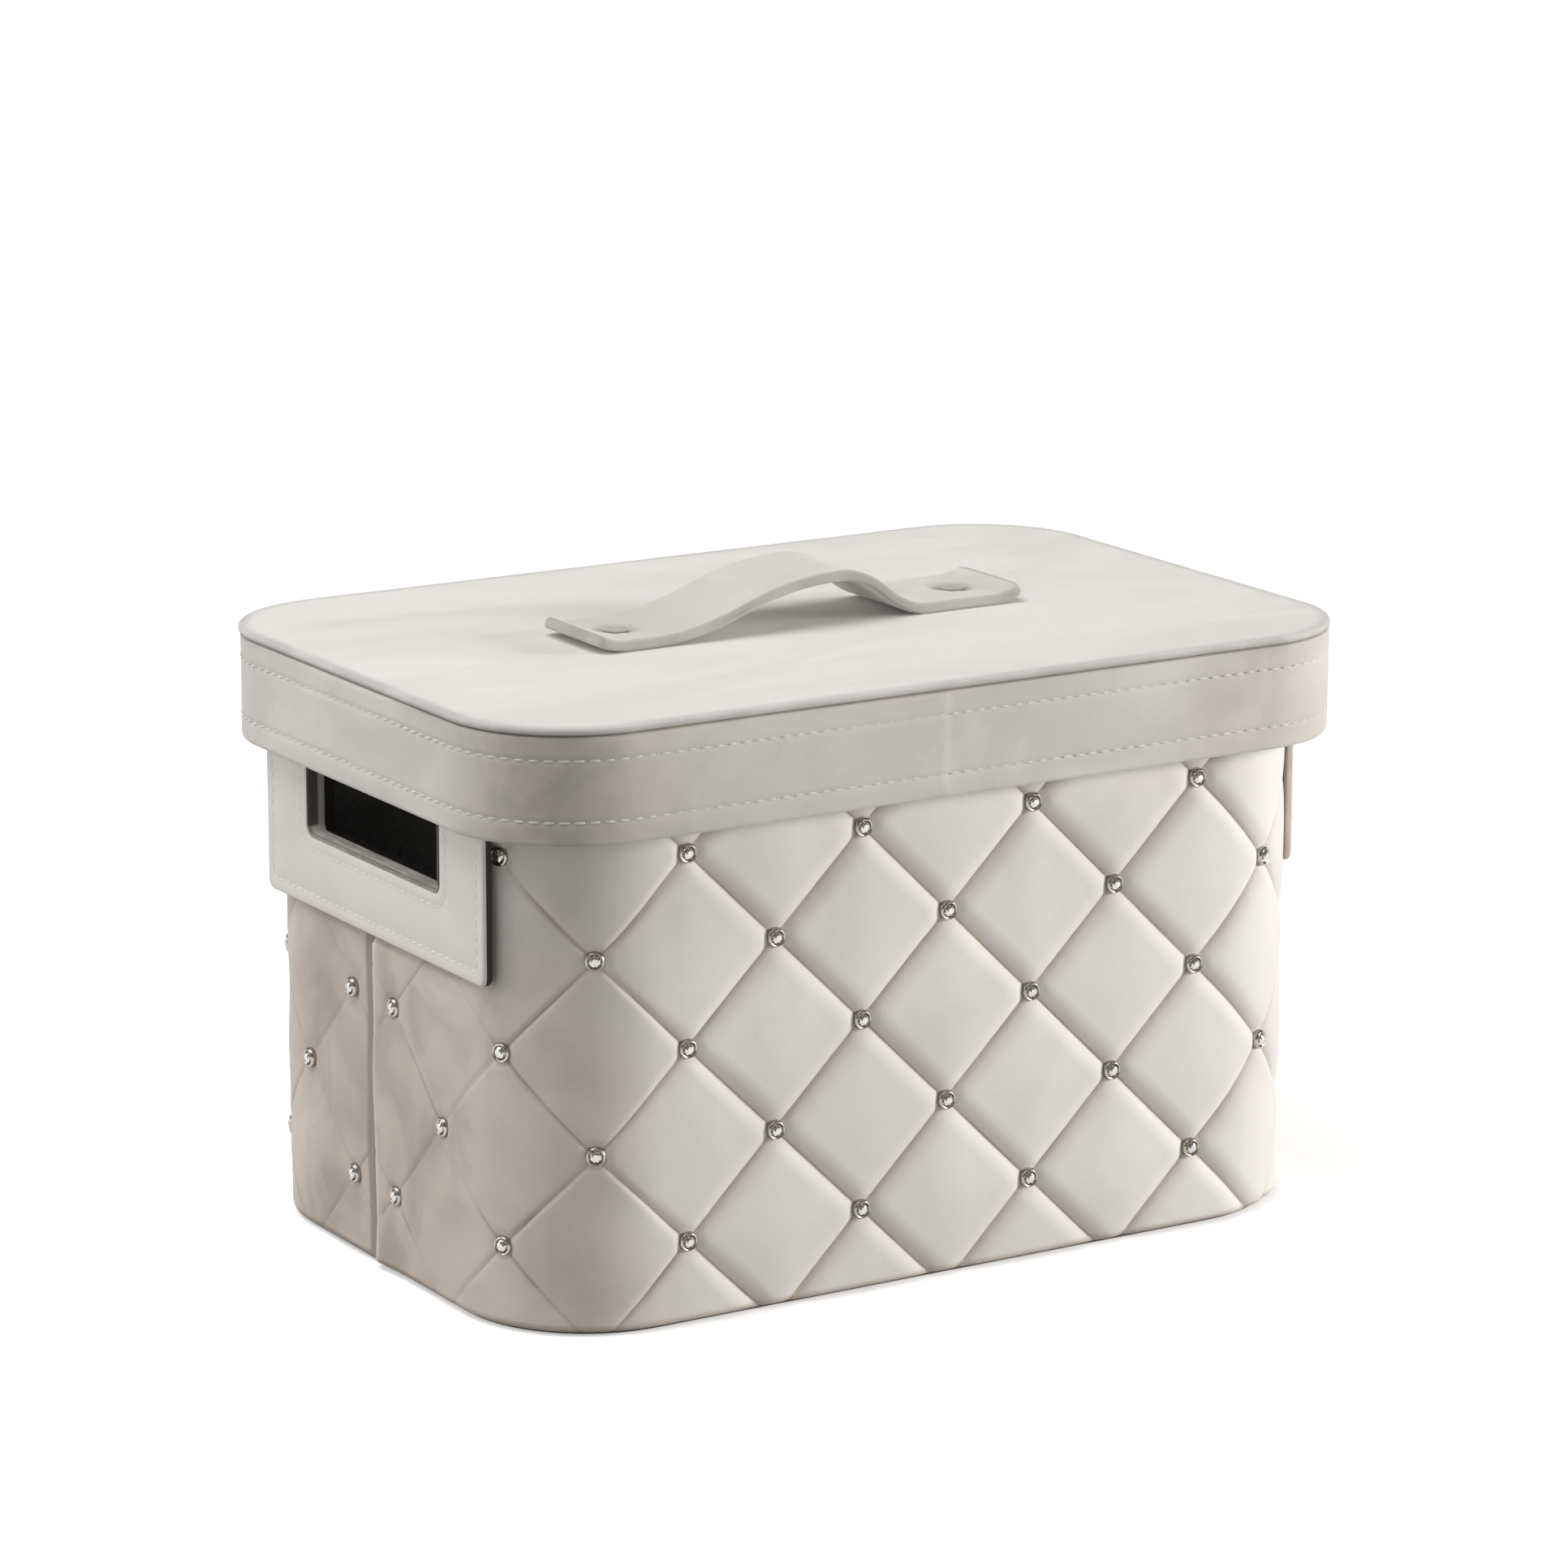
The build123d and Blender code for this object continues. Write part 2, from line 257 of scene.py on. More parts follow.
@dataclass
class Shell:
    """Vertices in millimetres, groups of faces with one corner count each, and the painted shade at each
    vertex.
    """

    points: Array
    faces: list[Array]
    nap: Array | None = None

    @classmethod
    def grid(cls, points: Array, wrap_rows: bool = False, wrap_columns: bool = False) -> "Shell":
        """Quads over a grid of points, closed along either way where asked.

        Args:
            points: Rows by columns by 3.
            wrap_rows: Whether the last row joins the first.
            wrap_columns: Whether the last column joins the first.

        Returns:
            The shell of the grid.
        """
        index = np.arange(points.shape[0] * points.shape[1]).reshape(points.shape[:2])
        if wrap_rows:
            index = np.vstack([index, index[:1]])
        if wrap_columns:
            index = np.hstack([index, index[:, :1]])
        return cls(points.reshape(-1, 3), [np.stack(cells(index), axis=-1).reshape(-1, 4)])

    @classmethod
    def merged(cls, shells: Sequence["Shell"]) -> "Shell":
        """Several shells as one.

        Args:
            shells: The shells, which carry no painted shade.

        Returns:
            All of their points and faces.
        """
        starts = np.cumsum([0] + [len(shell.points) for shell in shells])
        faces = [group + start for shell, start in zip(shells, starts) for group in shell.faces]
        return cls(np.vstack([shell.points for shell in shells]), faces)

    def copies(self, origins: Array, axes: Array) -> "Shell":
        """The same shell set down many times.

        Args:
            origins: Places, n by 3.
            axes: For each place its three axes as rows, n by 3 by 3.

        Returns:
            One shell with all copies.
        """
        points = origins[:, None, :] + np.einsum("ka,nab->nkb", self.points, axes)
        shift = len(self.points) * np.arange(len(origins))[:, None, None]
        faces = [(group[None] + shift).reshape(-1, group.shape[1]) for group in self.faces]
        return Shell(points.reshape(-1, 3), faces)


class Recipe:
    """A material's nodes while they are written, with its shader ready."""

    def __init__(self, name: str) -> None:
        """Start a material with a shader and nothing else.

        Args:
            name: Name of the material.
        """
        self.material = bpy.data.materials.new(name)
        self.material.use_nodes = True
        self.tree = self.material.node_tree
        self.tree.nodes.clear()
        self.shader = self.add("ShaderNodeBsdfPrincipled")
        output = self.add("ShaderNodeOutputMaterial")
        self.put(output.inputs["Surface"], self.shader.outputs["BSDF"])
        self.place = self.add("ShaderNodeTexCoord").outputs["Object"]

    def add(self, kind: str, sockets: dict[str, object] | None = None, operation: str = "") -> bpy.types.Node:
        """Add a node, and link or set the sockets that are given.

        Args:
            kind: Blender's name of the node.
            sockets: Values or other nodes' outputs, by socket name.
            operation: What a node of arithmetic does.

        Returns:
            The node.
        """
        node = self.tree.nodes.new(kind)
        if operation:
            node.operation = operation
        for name, value in (sockets or {}).items():
            self.put(node.inputs[name], value)
        return node

    def put(self, socket: Socket, value: object) -> None:
        """Link a socket to another node's output, or set its value.

        Args:
            socket: The input.
            value: An output, a number, or red, green and blue.
        """
        if isinstance(value, Socket):
            self.tree.links.new(value, socket)
        elif socket.type == "RGBA":
            socket.default_value = (*value, 1.0)
        else:
            socket.default_value = value

    def finish(self, sockets: dict[str, object]) -> bpy.types.Material:
        """Set the shader's sockets and hand the material over.

        Args:
            sockets: Values or other nodes' outputs, by socket name.

        Returns:
            The material.
        """
        for name, value in sockets.items():
            self.put(self.shader.inputs[name], value)
        return self.material

    def noise(
        self, size: float, detail: float = 2.0, warp: float = 0.0, stretch: Triple = EVEN
    ) -> Socket:
        """Noise over the piece.

        Args:
            size: Size of a cloud or grain, in millimetres.
            detail: Octaves.
            warp: Distortion.
            stretch: How many times longer the clouds are along each axis.

        Returns:
            The noise value's output.
        """
        scale = [1.0 / (size * MM * part) for part in stretch]
        spot = self.add("ShaderNodeMapping", {"Vector": self.place, "Scale": scale}).outputs["Vector"]
        sockets = {"Vector": spot, "Scale": 1.0, "Detail": detail, "Distortion": warp}
        return self.add("ShaderNodeTexNoise", sockets).outputs["Fac"]

    def spread(self, value: Socket, source: Span = MOST_NOISE, target: Span = UP) -> Socket:
        """Stretch a value from one range to another, smoothly and within it.

        Args:
            value: The value's output.
            source: Range that it comes from.
            target: Range that it goes to.

        Returns:
            The stretched value's output.
        """
        names = ("From Min", "From Max", "To Min", "To Max")
        node = self.add("ShaderNodeMapRange", {"Value": value, **dict(zip(names, (*source, *target)))})
        node.interpolation_type = "SMOOTHSTEP"
        return node.outputs["Result"]

    def blend(self, share: Socket, first: Socket | Colour, second: Socket | Colour) -> Socket:
        """Mix two colours, given as outputs or as red, green and blue.

        Args:
            share: How much of the second colour shows.
            first: The first colour.
            second: The second colour.

        Returns:
            The mixed colour's output.
        """
        node = self.add("ShaderNodeMix")
        node.data_type = "RGBA"
        for index, value in zip(MIX_INPUTS, (share, first, second)):
            self.put(node.inputs[index], value)
        return node.outputs[MIX_OUTPUT]

    def bump(self, height: Socket, depth: float, strength: float, under: Socket | None = None) -> Socket:
        """Bump from a height.

        Args:
            height: The height's output.
            depth: What a height of 1 stands for, in millimetres.
            strength: How much of the bump shows.
            under: Another bump that this one lies on.

        Returns:
            The bumped normal's output.
        """
        sockets = {"Height": height, "Distance": depth * MM, "Strength": strength}
        if under is not None:
            sockets["Normal"] = under
        return self.add("ShaderNodeBump", sockets).outputs["Normal"]


@dataclass(frozen=True)
class Finish:
    """What a piece is made of."""

    name: str

    def sockets(self, recipe: Recipe) -> dict[str, object]:
        """Each finish writes its own nodes, and says what goes into the shader's sockets."""
        raise NotImplementedError(self.name)

    @lru_cache
    def material(self) -> bpy.types.Material:
        """The finish as a material, made once."""
        recipe = Recipe(self.name)
        return recipe.finish(self.sockets(recipe))


@dataclass(frozen=True)
class Suede(Finish):
    """Napped suede: cloudy where the pile was brushed, finely grained, with a soft sheen."""

    pale: Colour
    brushed: Colour
    cloud: float = 75.0
    stretch: Triple = EVEN
    # Tones of painted shade and of darker painted shadow, as shares of the brushed colour, and their warm
    # tint
    wear_and_shade: float = 0.70
    shadow_tone: float = 0.42
    shade_warmth: Colour = (1.07, 0.985, 0.91)
    fleck: float = 3.2
    fleck_share: float = 0.10
    mottle: float = 34.0
    mottle_tones: Pair = (0.92, 1.14)
    grain: float = 0.55
    grain_depth: float = 0.10
    softness: float = 9.0
    softness_depth: float = 0.25

    def sockets(self, recipe: Recipe) -> dict[str, object]:
        """Clouds, flecks, mottled painted shade where the vertex attribute asks, painted shadow past that,
        and a pile in the bump.

        Args:
            recipe: The nodes.

        Returns:
            What goes into the shader's sockets.
        """
        clouds = recipe.spread(recipe.noise(self.cloud, 3.0, 0.9, self.stretch), (0.36, 0.66))
        colour = recipe.blend(clouds, self.brushed, self.pale)
        flecks = recipe.spread(recipe.noise(self.fleck, 3.0), target=(0.0, self.fleck_share))
        colour = recipe.blend(flecks, colour, self.brushed)
        # A vertex attribute paints shade: up to 1 a mottled shaded tone, from 1 to 2 a darker painted shadow
        attribute = recipe.add("ShaderNodeAttribute")
        attribute.attribute_name = PAINTED_SHADE
        nap = attribute.outputs["Fac"]
        warm = [part * tint for part, tint in zip(self.brushed, self.shade_warmth)]
        mottled = recipe.spread(recipe.noise(self.mottle, 3.0, 1.2), (0.36, 0.64))
        down = recipe.blend(mottled, *(shade(warm, self.wear_and_shade * tone) for tone in self.mottle_tones))
        colour = recipe.blend(nap, colour, down)
        shadow_share = recipe.spread(nap, (FULL_SHADE, FULL_SHADOW))
        pile = recipe.noise(self.grain)
        soft = recipe.bump(recipe.noise(self.softness), self.softness_depth, 0.5)
        return {
            "Base Color": recipe.blend(shadow_share, colour, shade(warm, self.shadow_tone)),
            "Roughness": recipe.spread(pile, target=(0.82, 0.96)),
            "Specular IOR Level": 0.22,
            "Sheen Weight": 0.18,
            "Sheen Roughness": 0.45,
            "Normal": recipe.bump(pile, self.grain_depth, 0.6, soft),
        }


@dataclass(frozen=True)
class Cloth(Finish):
    """Lining or felt: two shades that the fibres of a short pile mix, darker in patches."""

    pale: Colour
    dark: Colour
    fibre: float = 0.7
    detail: float = 3.0
    warp: float = 0.4
    stretch: Triple = EVEN
    patch: float = 40.0
    patch_share: float = 0.5
    roughness: Span = (0.85, 0.98)
    relief: float = 0.15
    strength: float = 0.7
    specular: float = 0.15
    sheen: float = 0.1

    def sockets(self, recipe: Recipe) -> dict[str, object]:
        """Fibre noise in colour, roughness and bump, and broad patches where it has them.

        Args:
            recipe: The nodes.

        Returns:
            What goes into the shader's sockets.
        """
        fibres = recipe.noise(self.fibre, self.detail, self.warp, self.stretch)
        colour = recipe.blend(recipe.spread(fibres), self.dark, self.pale)
        if self.patch_share:
            patches = recipe.spread(recipe.noise(self.patch), (0.35, 0.65), (0.0, self.patch_share))
            colour = recipe.blend(patches, colour, self.dark)
        return {
            "Base Color": colour,
            "Roughness": recipe.spread(fibres, target=self.roughness),
            "Specular IOR Level": self.specular,
            "Sheen Weight": self.sheen,
            "Normal": recipe.bump(fibres, self.relief, self.strength),
        }


@dataclass(frozen=True)
class Board(Cloth):
    """Raw board: flat pulp fibres, with no patches and no sheen."""

    fibre: float = 1.6
    detail: float = 4.0
    warp: float = 0.5
    stretch: Triple = (3.0, 3.0, 1.0)
    patch_share: float = 0.0
    roughness: Span = (0.8, 0.95)
    relief: float = 0.12
    strength: float = 0.6
    specular: float = 0.2
    sheen: float = 0.0


@dataclass(frozen=True)
class Thread(Cloth):
    """Twisted sewing thread: smoother than cloth, its twist as small as its fibres."""

    fibre: float = 0.45
    detail: float = 1.0
    warp: float = 0.0
    patch_share: float = 0.0
    roughness: Span = (0.55, 0.75)
    relief: float = 0.08
    strength: float = 0.6
    specular: float = 0.5


@dataclass(frozen=True)
class Metal(Finish):
    """Polished or brushed metal with faint handling marks."""

    colour: Colour
    roughness: float
    scratch: float

    def sockets(self, recipe: Recipe) -> dict[str, object]:
        """Fine scratches in its colour, roughness and bump.

        Args:
            recipe: The nodes.

        Returns:
            What goes into the shader's sockets.
        """
        marks = recipe.noise(self.scratch, 3.0, 0.2, (6.0, 1.0, 1.0))
        wear_and_shade = recipe.spread(marks, target=(0.0, 0.25))
        return {
            "Base Color": recipe.blend(wear_and_shade, self.colour, shade(self.colour, 0.8)),
            "Metallic": 1.0,
            "Roughness": recipe.spread(marks, target=(0.7 * self.roughness, 1.5 * self.roughness)),
            "Normal": recipe.bump(marks, 0.01, 0.3),
        }


@dataclass(frozen=True)
class Crystal(Finish):
    """Foil-backed cut stone: bright facets with a little colour in the glass."""

    colour: Colour
    tint: Colour

    def sockets(self, recipe: Recipe) -> dict[str, object]:
        """A mirror of foil under a hard clear coat.

        Args:
            recipe: The nodes.

        Returns:
            What goes into the shader's sockets.
        """
        tinted = recipe.spread(recipe.noise(2.0, 1.0), (0.35, 0.65), (0.0, 0.3))
        return {
            "Base Color": recipe.blend(tinted, self.colour, self.tint),
            "Metallic": 0.85,
            "Roughness": recipe.spread(recipe.noise(1.2, 1.0), target=(0.04, 0.12)),
            "Coat Weight": 1.0,
            "Coat Roughness": 0.02,
        }


@dataclass(frozen=True)
class Jamb(Finish):
    """Edge of the hand-hole, with light and shade painted on: a pale sill in painted light, dark cloth in
    painted shade above it with a pale band on its rolled edge, and painted shadow deep inside the hole.

    The sill ends at a height. The inner cloth turns at a distance from the middle of the box, and the
    spans of the painted shadow inside, the rolled edge and the front part are counted outwards from that
    turn.
    """

    lit_pale: Colour
    dark: Colour
    sill: float
    turn: float
    sill_fade: float = 1.6
    lining: Span = (0.0, 0.6)
    rolled: Span = (2.2, 3.2)
    front: Span = (4.6, 6.2)
    front_share: float = 0.62

    def sockets(self, recipe: Recipe) -> dict[str, object]:
        """Streaks along Y on the pale sill in painted light, dark cloth in painted shade above it, and
        painted shadow inside.

        Args:
            recipe: The nodes.

        Returns:
            What goes into the shader's sockets.
        """
        place = recipe.add("ShaderNodeSeparateXYZ", {"Vector": recipe.place}).outputs
        above = recipe.spread(place["Z"], (self.sill * MM, (self.sill + self.sill_fade) * MM))
        out = recipe.add("ShaderNodeMath", {"Value": place["X"]}, "ABSOLUTE").outputs["Value"]
        lining, rolled, front = (
            recipe.spread(out, ((self.turn + start) * MM, (self.turn + end) * MM), target)
            for (start, end), target in (
                (self.lining, DOWN), (self.rolled, DOWN), (self.front, (0.0, self.front_share)),
            )
        )
        streaks = recipe.spread(recipe.noise(2.6, 3.0, 0.6, (1.0, 5.0, 1.0)), (0.34, 0.62))
        fibre = recipe.noise(0.7, 3.0, 0.4)
        # Painted light on the sill, painted shade on the cloth above it, and painted shadow inside the hole
        sill = recipe.blend(streaks, shade(self.lit_pale, 0.66), self.lit_pale)
        sill = recipe.blend(front, sill, shade(self.dark, 2.0))
        cloth = recipe.blend(fibre, self.dark, shade(self.dark, 1.8))
        cloth = recipe.blend(rolled, cloth, shade(self.lit_pale, 0.7))
        edge = recipe.blend(above, sill, cloth)
        return {
            "Base Color": recipe.blend(lining, edge, shade(self.dark, 0.25)),
            "Roughness": recipe.spread(fibre, target=(0.8, 0.95)),
            "Specular IOR Level": 0.15,
            "Normal": recipe.bump(streaks, 0.1, 0.5),
        }


COOL = (0.99, 0.995, 1.0)
QUILT_SUEDE = Suede("quilted_suede", (0.875, 0.846, 0.815), (0.805, 0.774, 0.741))
LID_SUEDE = Suede("lid_suede", (0.83, 0.816, 0.797), (0.75, 0.733, 0.71), 60.0, (2.2, 1.0, 1.0), shade_warmth=COOL)
SKIRT_SUEDE = Suede(
    "skirt_suede", (0.79, 0.765, 0.736), (0.70, 0.675, 0.645), 55.0, (1.0, 1.0, 0.7),
    shade_warmth=(1.03, 0.995, 0.95),
)
# The panels' painted shadow is nearly black, for the gap behind their cut edges
PATCH_SUEDE = Suede("panel_suede", (0.88, 0.85, 0.82), (0.83, 0.797, 0.765), 90.0, shadow_tone=0.06)
STRAP_SUEDE = Suede("strap_suede", (0.72, 0.70, 0.674), (0.65, 0.63, 0.603), 40.0, wear_and_shade=0.64, shade_warmth=COOL)
# The rivet heads are darker than the strap, as painted shade in the bottom of the dimples
SHADED_RIVET_SUEDE = Suede("rivet_shaded_suede", (0.54, 0.515, 0.485), (0.40, 0.378, 0.352), 4.0)
LINING = Cloth("lining_cloth", (0.40, 0.38, 0.36), (0.27, 0.255, 0.24))
# The felt is dark, and its edge at the foot also stands in for the contact shadow along the bottom
FELT = Cloth("base_felt", (0.17, 0.16, 0.15), (0.10, 0.095, 0.09))
# Pale where the sill takes painted light, nearly black for the painted shade on the hole's sides and inside
JAMB = Jamb("hand_hole_edge", (0.80, 0.765, 0.725), (0.09, 0.083, 0.075), 144.2, 155.4)
GREY_BOARD = Board("grey_board", (0.45, 0.40, 0.34), (0.315, 0.28, 0.238))
SILVER = Metal("polished_silver", (0.45, 0.42, 0.385), 0.2, 3.0)
STEEL = Metal("washer_steel", (0.62, 0.62, 0.63), 0.3, 2.0)
STONE = Crystal("cut_crystal", (0.64, 0.62, 0.595), (0.50, 0.52, 0.55))
PALE_THREAD = Thread("pale_thread", (0.77, 0.743, 0.712), (0.6314, 0.60926, 0.58384))
PANEL_THREAD = Thread("panel_thread", (0.93, 0.905, 0.88), (0.7626, 0.7421, 0.7216))

NODE_FINISHES = {
    FELT: ("base_cover",),
    GREY_BOARD: (
        "base_board", "wall_shell", "left_patch_backing", "right_patch_backing", "lid_top_board",
        "lid_skirt_board",
    ),
    LINING: ("base_lining", "wall_lining", "lid_top_lining", "lid_skirt_lining"),
    JAMB: ("left_hole_sleeve", "right_hole_sleeve"),
    SHADED_RIVET_SUEDE: ("strap_rivets",),
    STEEL: ("strap_washers",),
}


def make_piece(
    name: str,
    shell: Shell,
    body: Body,
    finish: Finish,
    stands_for: Sequence[str] = (),
    crease: float = 45.0,
) -> bpy.types.Object:
    """Write a shell into a Blender object, and dress it and set it on its body.

    Args:
        name: Name of the piece.
        shell: Its surface.
        body: The CAD body that it rides on.
        finish: What it is made of.
        stands_for: CAD nodes that it replaces.
        crease: Angle, in degrees, past which an edge is sharp; 0 leaves every face flat.

    Returns:
        The object.
    """
    corners = np.concatenate([group.reshape(-1) for group in shell.faces])
    counts = np.concatenate([np.full(len(group), group.shape[1]) for group in shell.faces])
    mesh = bpy.data.meshes.new(name)
    mesh.vertices.add(len(shell.points))
    mesh.vertices.foreach_set("co", (shell.points * MM).astype(np.float32).ravel())
    mesh.loops.add(len(corners))
    mesh.loops.foreach_set("vertex_index", corners.astype(np.int32))
    mesh.polygons.add(len(counts))
    starts = np.concatenate([[0], np.cumsum(counts)[:-1]])
    mesh.polygons.foreach_set("loop_start", starts.astype(np.int32))
    mesh.update(calc_edges=True)
    if shell.nap is not None:
        nap = mesh.attributes.new(PAINTED_SHADE, "FLOAT", "POINT")
        nap.data.foreach_set("value", shell.nap.astype(np.float32))
    editor = bmesh.new()
    editor.from_mesh(mesh)
    bmesh.ops.remove_doubles(editor, verts=editor.verts, dist=MERGE_MM * MM)
    bmesh.ops.recalc_face_normals(editor, faces=editor.faces)
    editor.to_mesh(mesh)
    editor.free()
    mesh.polygons.foreach_set("use_smooth", np.full(len(mesh.polygons), crease > 0))
    if crease > 0:
        mesh.set_sharp_from_angle(angle=math.radians(crease))
    mesh.materials.append(finish.material())
    piece = bpy.data.objects.new(name, mesh)
    bpy.context.scene.collection.objects.link(piece)
    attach(piece, body.value)
    if stands_for:
        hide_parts(*stands_for)
    log.info("%s: %d faces on %s", name, len(mesh.polygons), body.value)
    return piece


@dataclass(frozen=True)
class Stitch:
    """One stitch: a bowed capsule, its ends sunk into the leather.

    The stations along it are shares of its half length, and the girths shares of its thickness.
    """

    half: float = 1.75
    thick: float = 0.36
    sides: int = 6
    bow: float = 0.3
    lift: float = 0.08
    stations: tuple[float, ...] = (-1.0, -0.92, -0.6, 0.0, 0.6, 0.92, 1.0)
    girths: tuple[float, ...] = (0.0, 0.6, 0.95, 1.0, 0.95, 0.6, 0.0)

    def shell(self) -> Shell:
        """Rings along the first axis, lowered along the third by the square of their station.

        Returns:
            The closed stitch about the origin.
        """
        along = np.array(self.stations)[:, None]
        radius = self.thick * np.array(self.girths)[:, None]
        angle = TAU * np.arange(self.sides) / self.sides
        first = np.broadcast_to(self.half * along, (len(along), self.sides))
        third = radius * np.sin(angle) - self.bow * along**2 + self.lift
        return Shell.grid(np.stack([first, radius * np.cos(angle), third], axis=-1), wrap_columns=True)

    def row(self, places: Array, along: Array, outward: Array) -> Shell:
        """Stitches at places, each laid along one way and lifted along another."""
        across = np.cross(outward, along)
        return self.shell().copies(places, np.stack([along, across, outward], axis=1))


def band(outline: Outline, profile: Array, count: int) -> Shell:
    """A closed profile of inset and height carried round an outline.

    Args:
        outline: The path.
        profile: Corners as inset and height, n by 2, or count by n by 2 where it changes on the way.
        count: Stations round the outline.

    Returns:
        The closed ring.
    """
    points, normals = outline.at(outline.even(count))
    profile = np.broadcast_to(profile, (count, *profile.shape[-2:]))
    flat = points[:, None, :] - normals[:, None, :] * profile[..., :1]
    solid = np.concatenate([flat, profile[..., 1:]], axis=-1)
    return Shell.grid(solid, wrap_rows=True, wrap_columns=True)


def closed(outer: Array, inner: Array, faces: Array, nap: Array) -> Shell:
    """A closed solid from an open skin: the skin, its back turned round, and a wall along each open edge.

    Args:
        outer: Points of the skin.
        inner: As many points of its back.
        faces: Triangles of the skin.
        nap: How much shade is painted at each point of the skin.

    Returns:
        The closed shell, with the unused points left out.
    """
    edges = np.concatenate([faces[:, [0, 1]], faces[:, [1, 2]], faces[:, [2, 0]]])
    _, place, uses = np.unique(np.sort(edges, axis=1), axis=0, return_index=True, return_counts=True)
    rim = edges[place[uses == 1]]
    shift = len(outer)
    wall = np.column_stack([rim[:, 1], rim[:, 0], rim[:, 0] + shift, rim[:, 1] + shift])
    used = np.unique(faces)
    keep = np.concatenate([used, used + shift])
    number = np.zeros(2 * shift, int)
    number[keep] = np.arange(len(keep))
    groups = [number[faces], number[faces[:, ::-1] + shift], number[wall]]
    return Shell(np.vstack([outer, inner])[keep], groups, np.tile(nap, 2)[keep])


@dataclass(frozen=True)
class Air:
    """Blender's cloth, blown up by a little air, in its own units."""

    pressure: float = 4.0
    frames: int = 20
    quality: int = 4
    mass: float = 0.15
    stretch: float = 20.0
    shear: float = 8.0
    bending: float = 2.0

    def inflate(self, shell: Shell, held: Array) -> Array:
        """Blow a cloth up for a few frames and read where its points went.

        Args:
            shell: The cloth, its faces turned outwards.
            held: Which of its points are sewn down.

        Returns:
            The points afterwards, in millimetres.
        """
        mesh = bpy.data.meshes.new("cloth")
        mesh.from_pydata((shell.points * MM).tolist(), [], shell.faces[0].tolist())
        cloth = bpy.data.objects.new("cloth", mesh)
        scene = bpy.context.scene
        scene.collection.objects.link(cloth)
        cloth.vertex_groups.new(name="sewn").add(np.flatnonzero(held).tolist(), 1.0, "REPLACE")
        settings = cloth.modifiers.new("cloth", "CLOTH").settings
        settings.vertex_group_mass = "sewn"
        settings.quality = self.quality
        settings.mass = self.mass
        settings.tension_stiffness = settings.compression_stiffness = self.stretch
        settings.shear_stiffness = self.shear
        settings.bending_stiffness = self.bending
        settings.use_pressure = True
        settings.uniform_pressure_force = self.pressure
        settings.effector_weights.gravity = 0.0
        for number in range(1, self.frames + 1):
            scene.frame_set(number)
        blown = cloth.evaluated_get(bpy.context.evaluated_depsgraph_get())
        vertices = blown.to_mesh().vertices
        points = np.empty(3 * len(vertices), np.float32)
        vertices.foreach_get("co", points)
        blown.to_mesh_clear()
        bpy.data.objects.remove(cloth)
        bpy.data.meshes.remove(mesh)
        scene.frame_set(1)
        return points.reshape(-1, 3).astype(float) / MM


@dataclass(frozen=True)
class Stud:
    """Ringed crystal, from its seat at height 0: a turned silver cup, and a cut stone in it."""

    cup_sides: int = 18
    stone_sides: int = 8
    cup: tuple[Pair, ...] = (
        (0.0, 0.0), (3.3, 0.0), (3.45, 0.5), (3.45, 1.7), (3.36, 2.3), (3.12, 2.75), (2.8, 2.92),
        (2.5, 2.8), (2.36, 2.45), (2.32, 1.5), (0.0, 1.5),
    )
    stone_rings: tuple[Pair, ...] = (
        (0.0, 1.5), (2.2, 1.55), (2.28, 2.05), (1.85, 2.95), (1.1, 3.5), (0.0, 3.55),
    )
    crown: int = 3

    def turned(self, rings: Sequence[Pair], sides: int, half_step: int | None = None) -> Shell:
        """Rings of radius and height round the third axis.

        Args:
            rings: Radius and height of each ring.
            sides: Points on a ring.
            half_step: Number of the ring that is turned by half a step, if there is one.

        Returns:
            The closed shell.
        """
        angle = np.tile(TAU * np.arange(sides) / sides, (len(rings), 1))
        if half_step is not None:
            angle[half_step] += math.pi / sides
        radius, height = np.array(rings).T[..., None]
        first, second = radius * np.cos(angle), radius * np.sin(angle)
        points = np.stack([first, second, np.broadcast_to(height, first.shape)], axis=-1)
        return Shell.grid(points, wrap_columns=True)

    def bezel(self) -> Shell:
        """Cup of the stud: a rolled rim round a shallow pocket."""
        return self.turned(self.cup, self.cup_sides)

    def stone(self) -> Shell:
        """Cut stone: a girdle, a ring of crown facets turned half a step, and a flat table."""
        return self.turned(self.stone_rings, self.stone_sides, self.crown)


def loop(length: float, height: float, corner: float, segments: int) -> Array:
    """Rounded rectangle with as many points on each side and corner, so that two loops can be joined.

    Args:
        length: Width of the rectangle.
        height: Its height.
        corner: Radius of its corners.
        segments: Points on each of the four sides and four corners.

    Returns:
        Points about the middle, 8 x segments by 2.
    """
    share = np.arange(segments)[:, None] / segments
    middles = (np.array([length, height]) / 2 - corner) * [(1, 1), (-1, 1), (-1, -1), (1, -1)]
    points = []
    for number, middle in enumerate(middles):
        angle = (number + share) * RIGHT_ANGLE
        points.append(middle + corner * np.hstack([np.cos(angle), np.sin(angle)]))
        turn = (number + 1) * RIGHT_ANGLE
        start = middle + corner * np.array([math.cos(turn), math.sin(turn)])
        points.append(start + share * (middles[(number + 1) % 4] - middle))
    return np.concatenate(points)


BODY_OUTLINE = Outline(323.0, 211.0, 50.0)
BODY_SHEET = 3.4
COVER_TOP = 199.1
PANEL_LENGTH = 154.0
PANEL_BOTTOM, PANEL_TOP = 117.0, 190.0


class Padding(NamedTuple):
    """Foam and sewing under one part of a cover, in millimetres.

    The level of the pads over their sheet, the depth of the channels, the width of a pad's shoulder,
    the rise of its dome, the height of the folds along the channels, and how uneven the cover lies.
    """

    level: float
    depth: float
    shoulder: float
    dome: float
    fold: float
    uneven: float


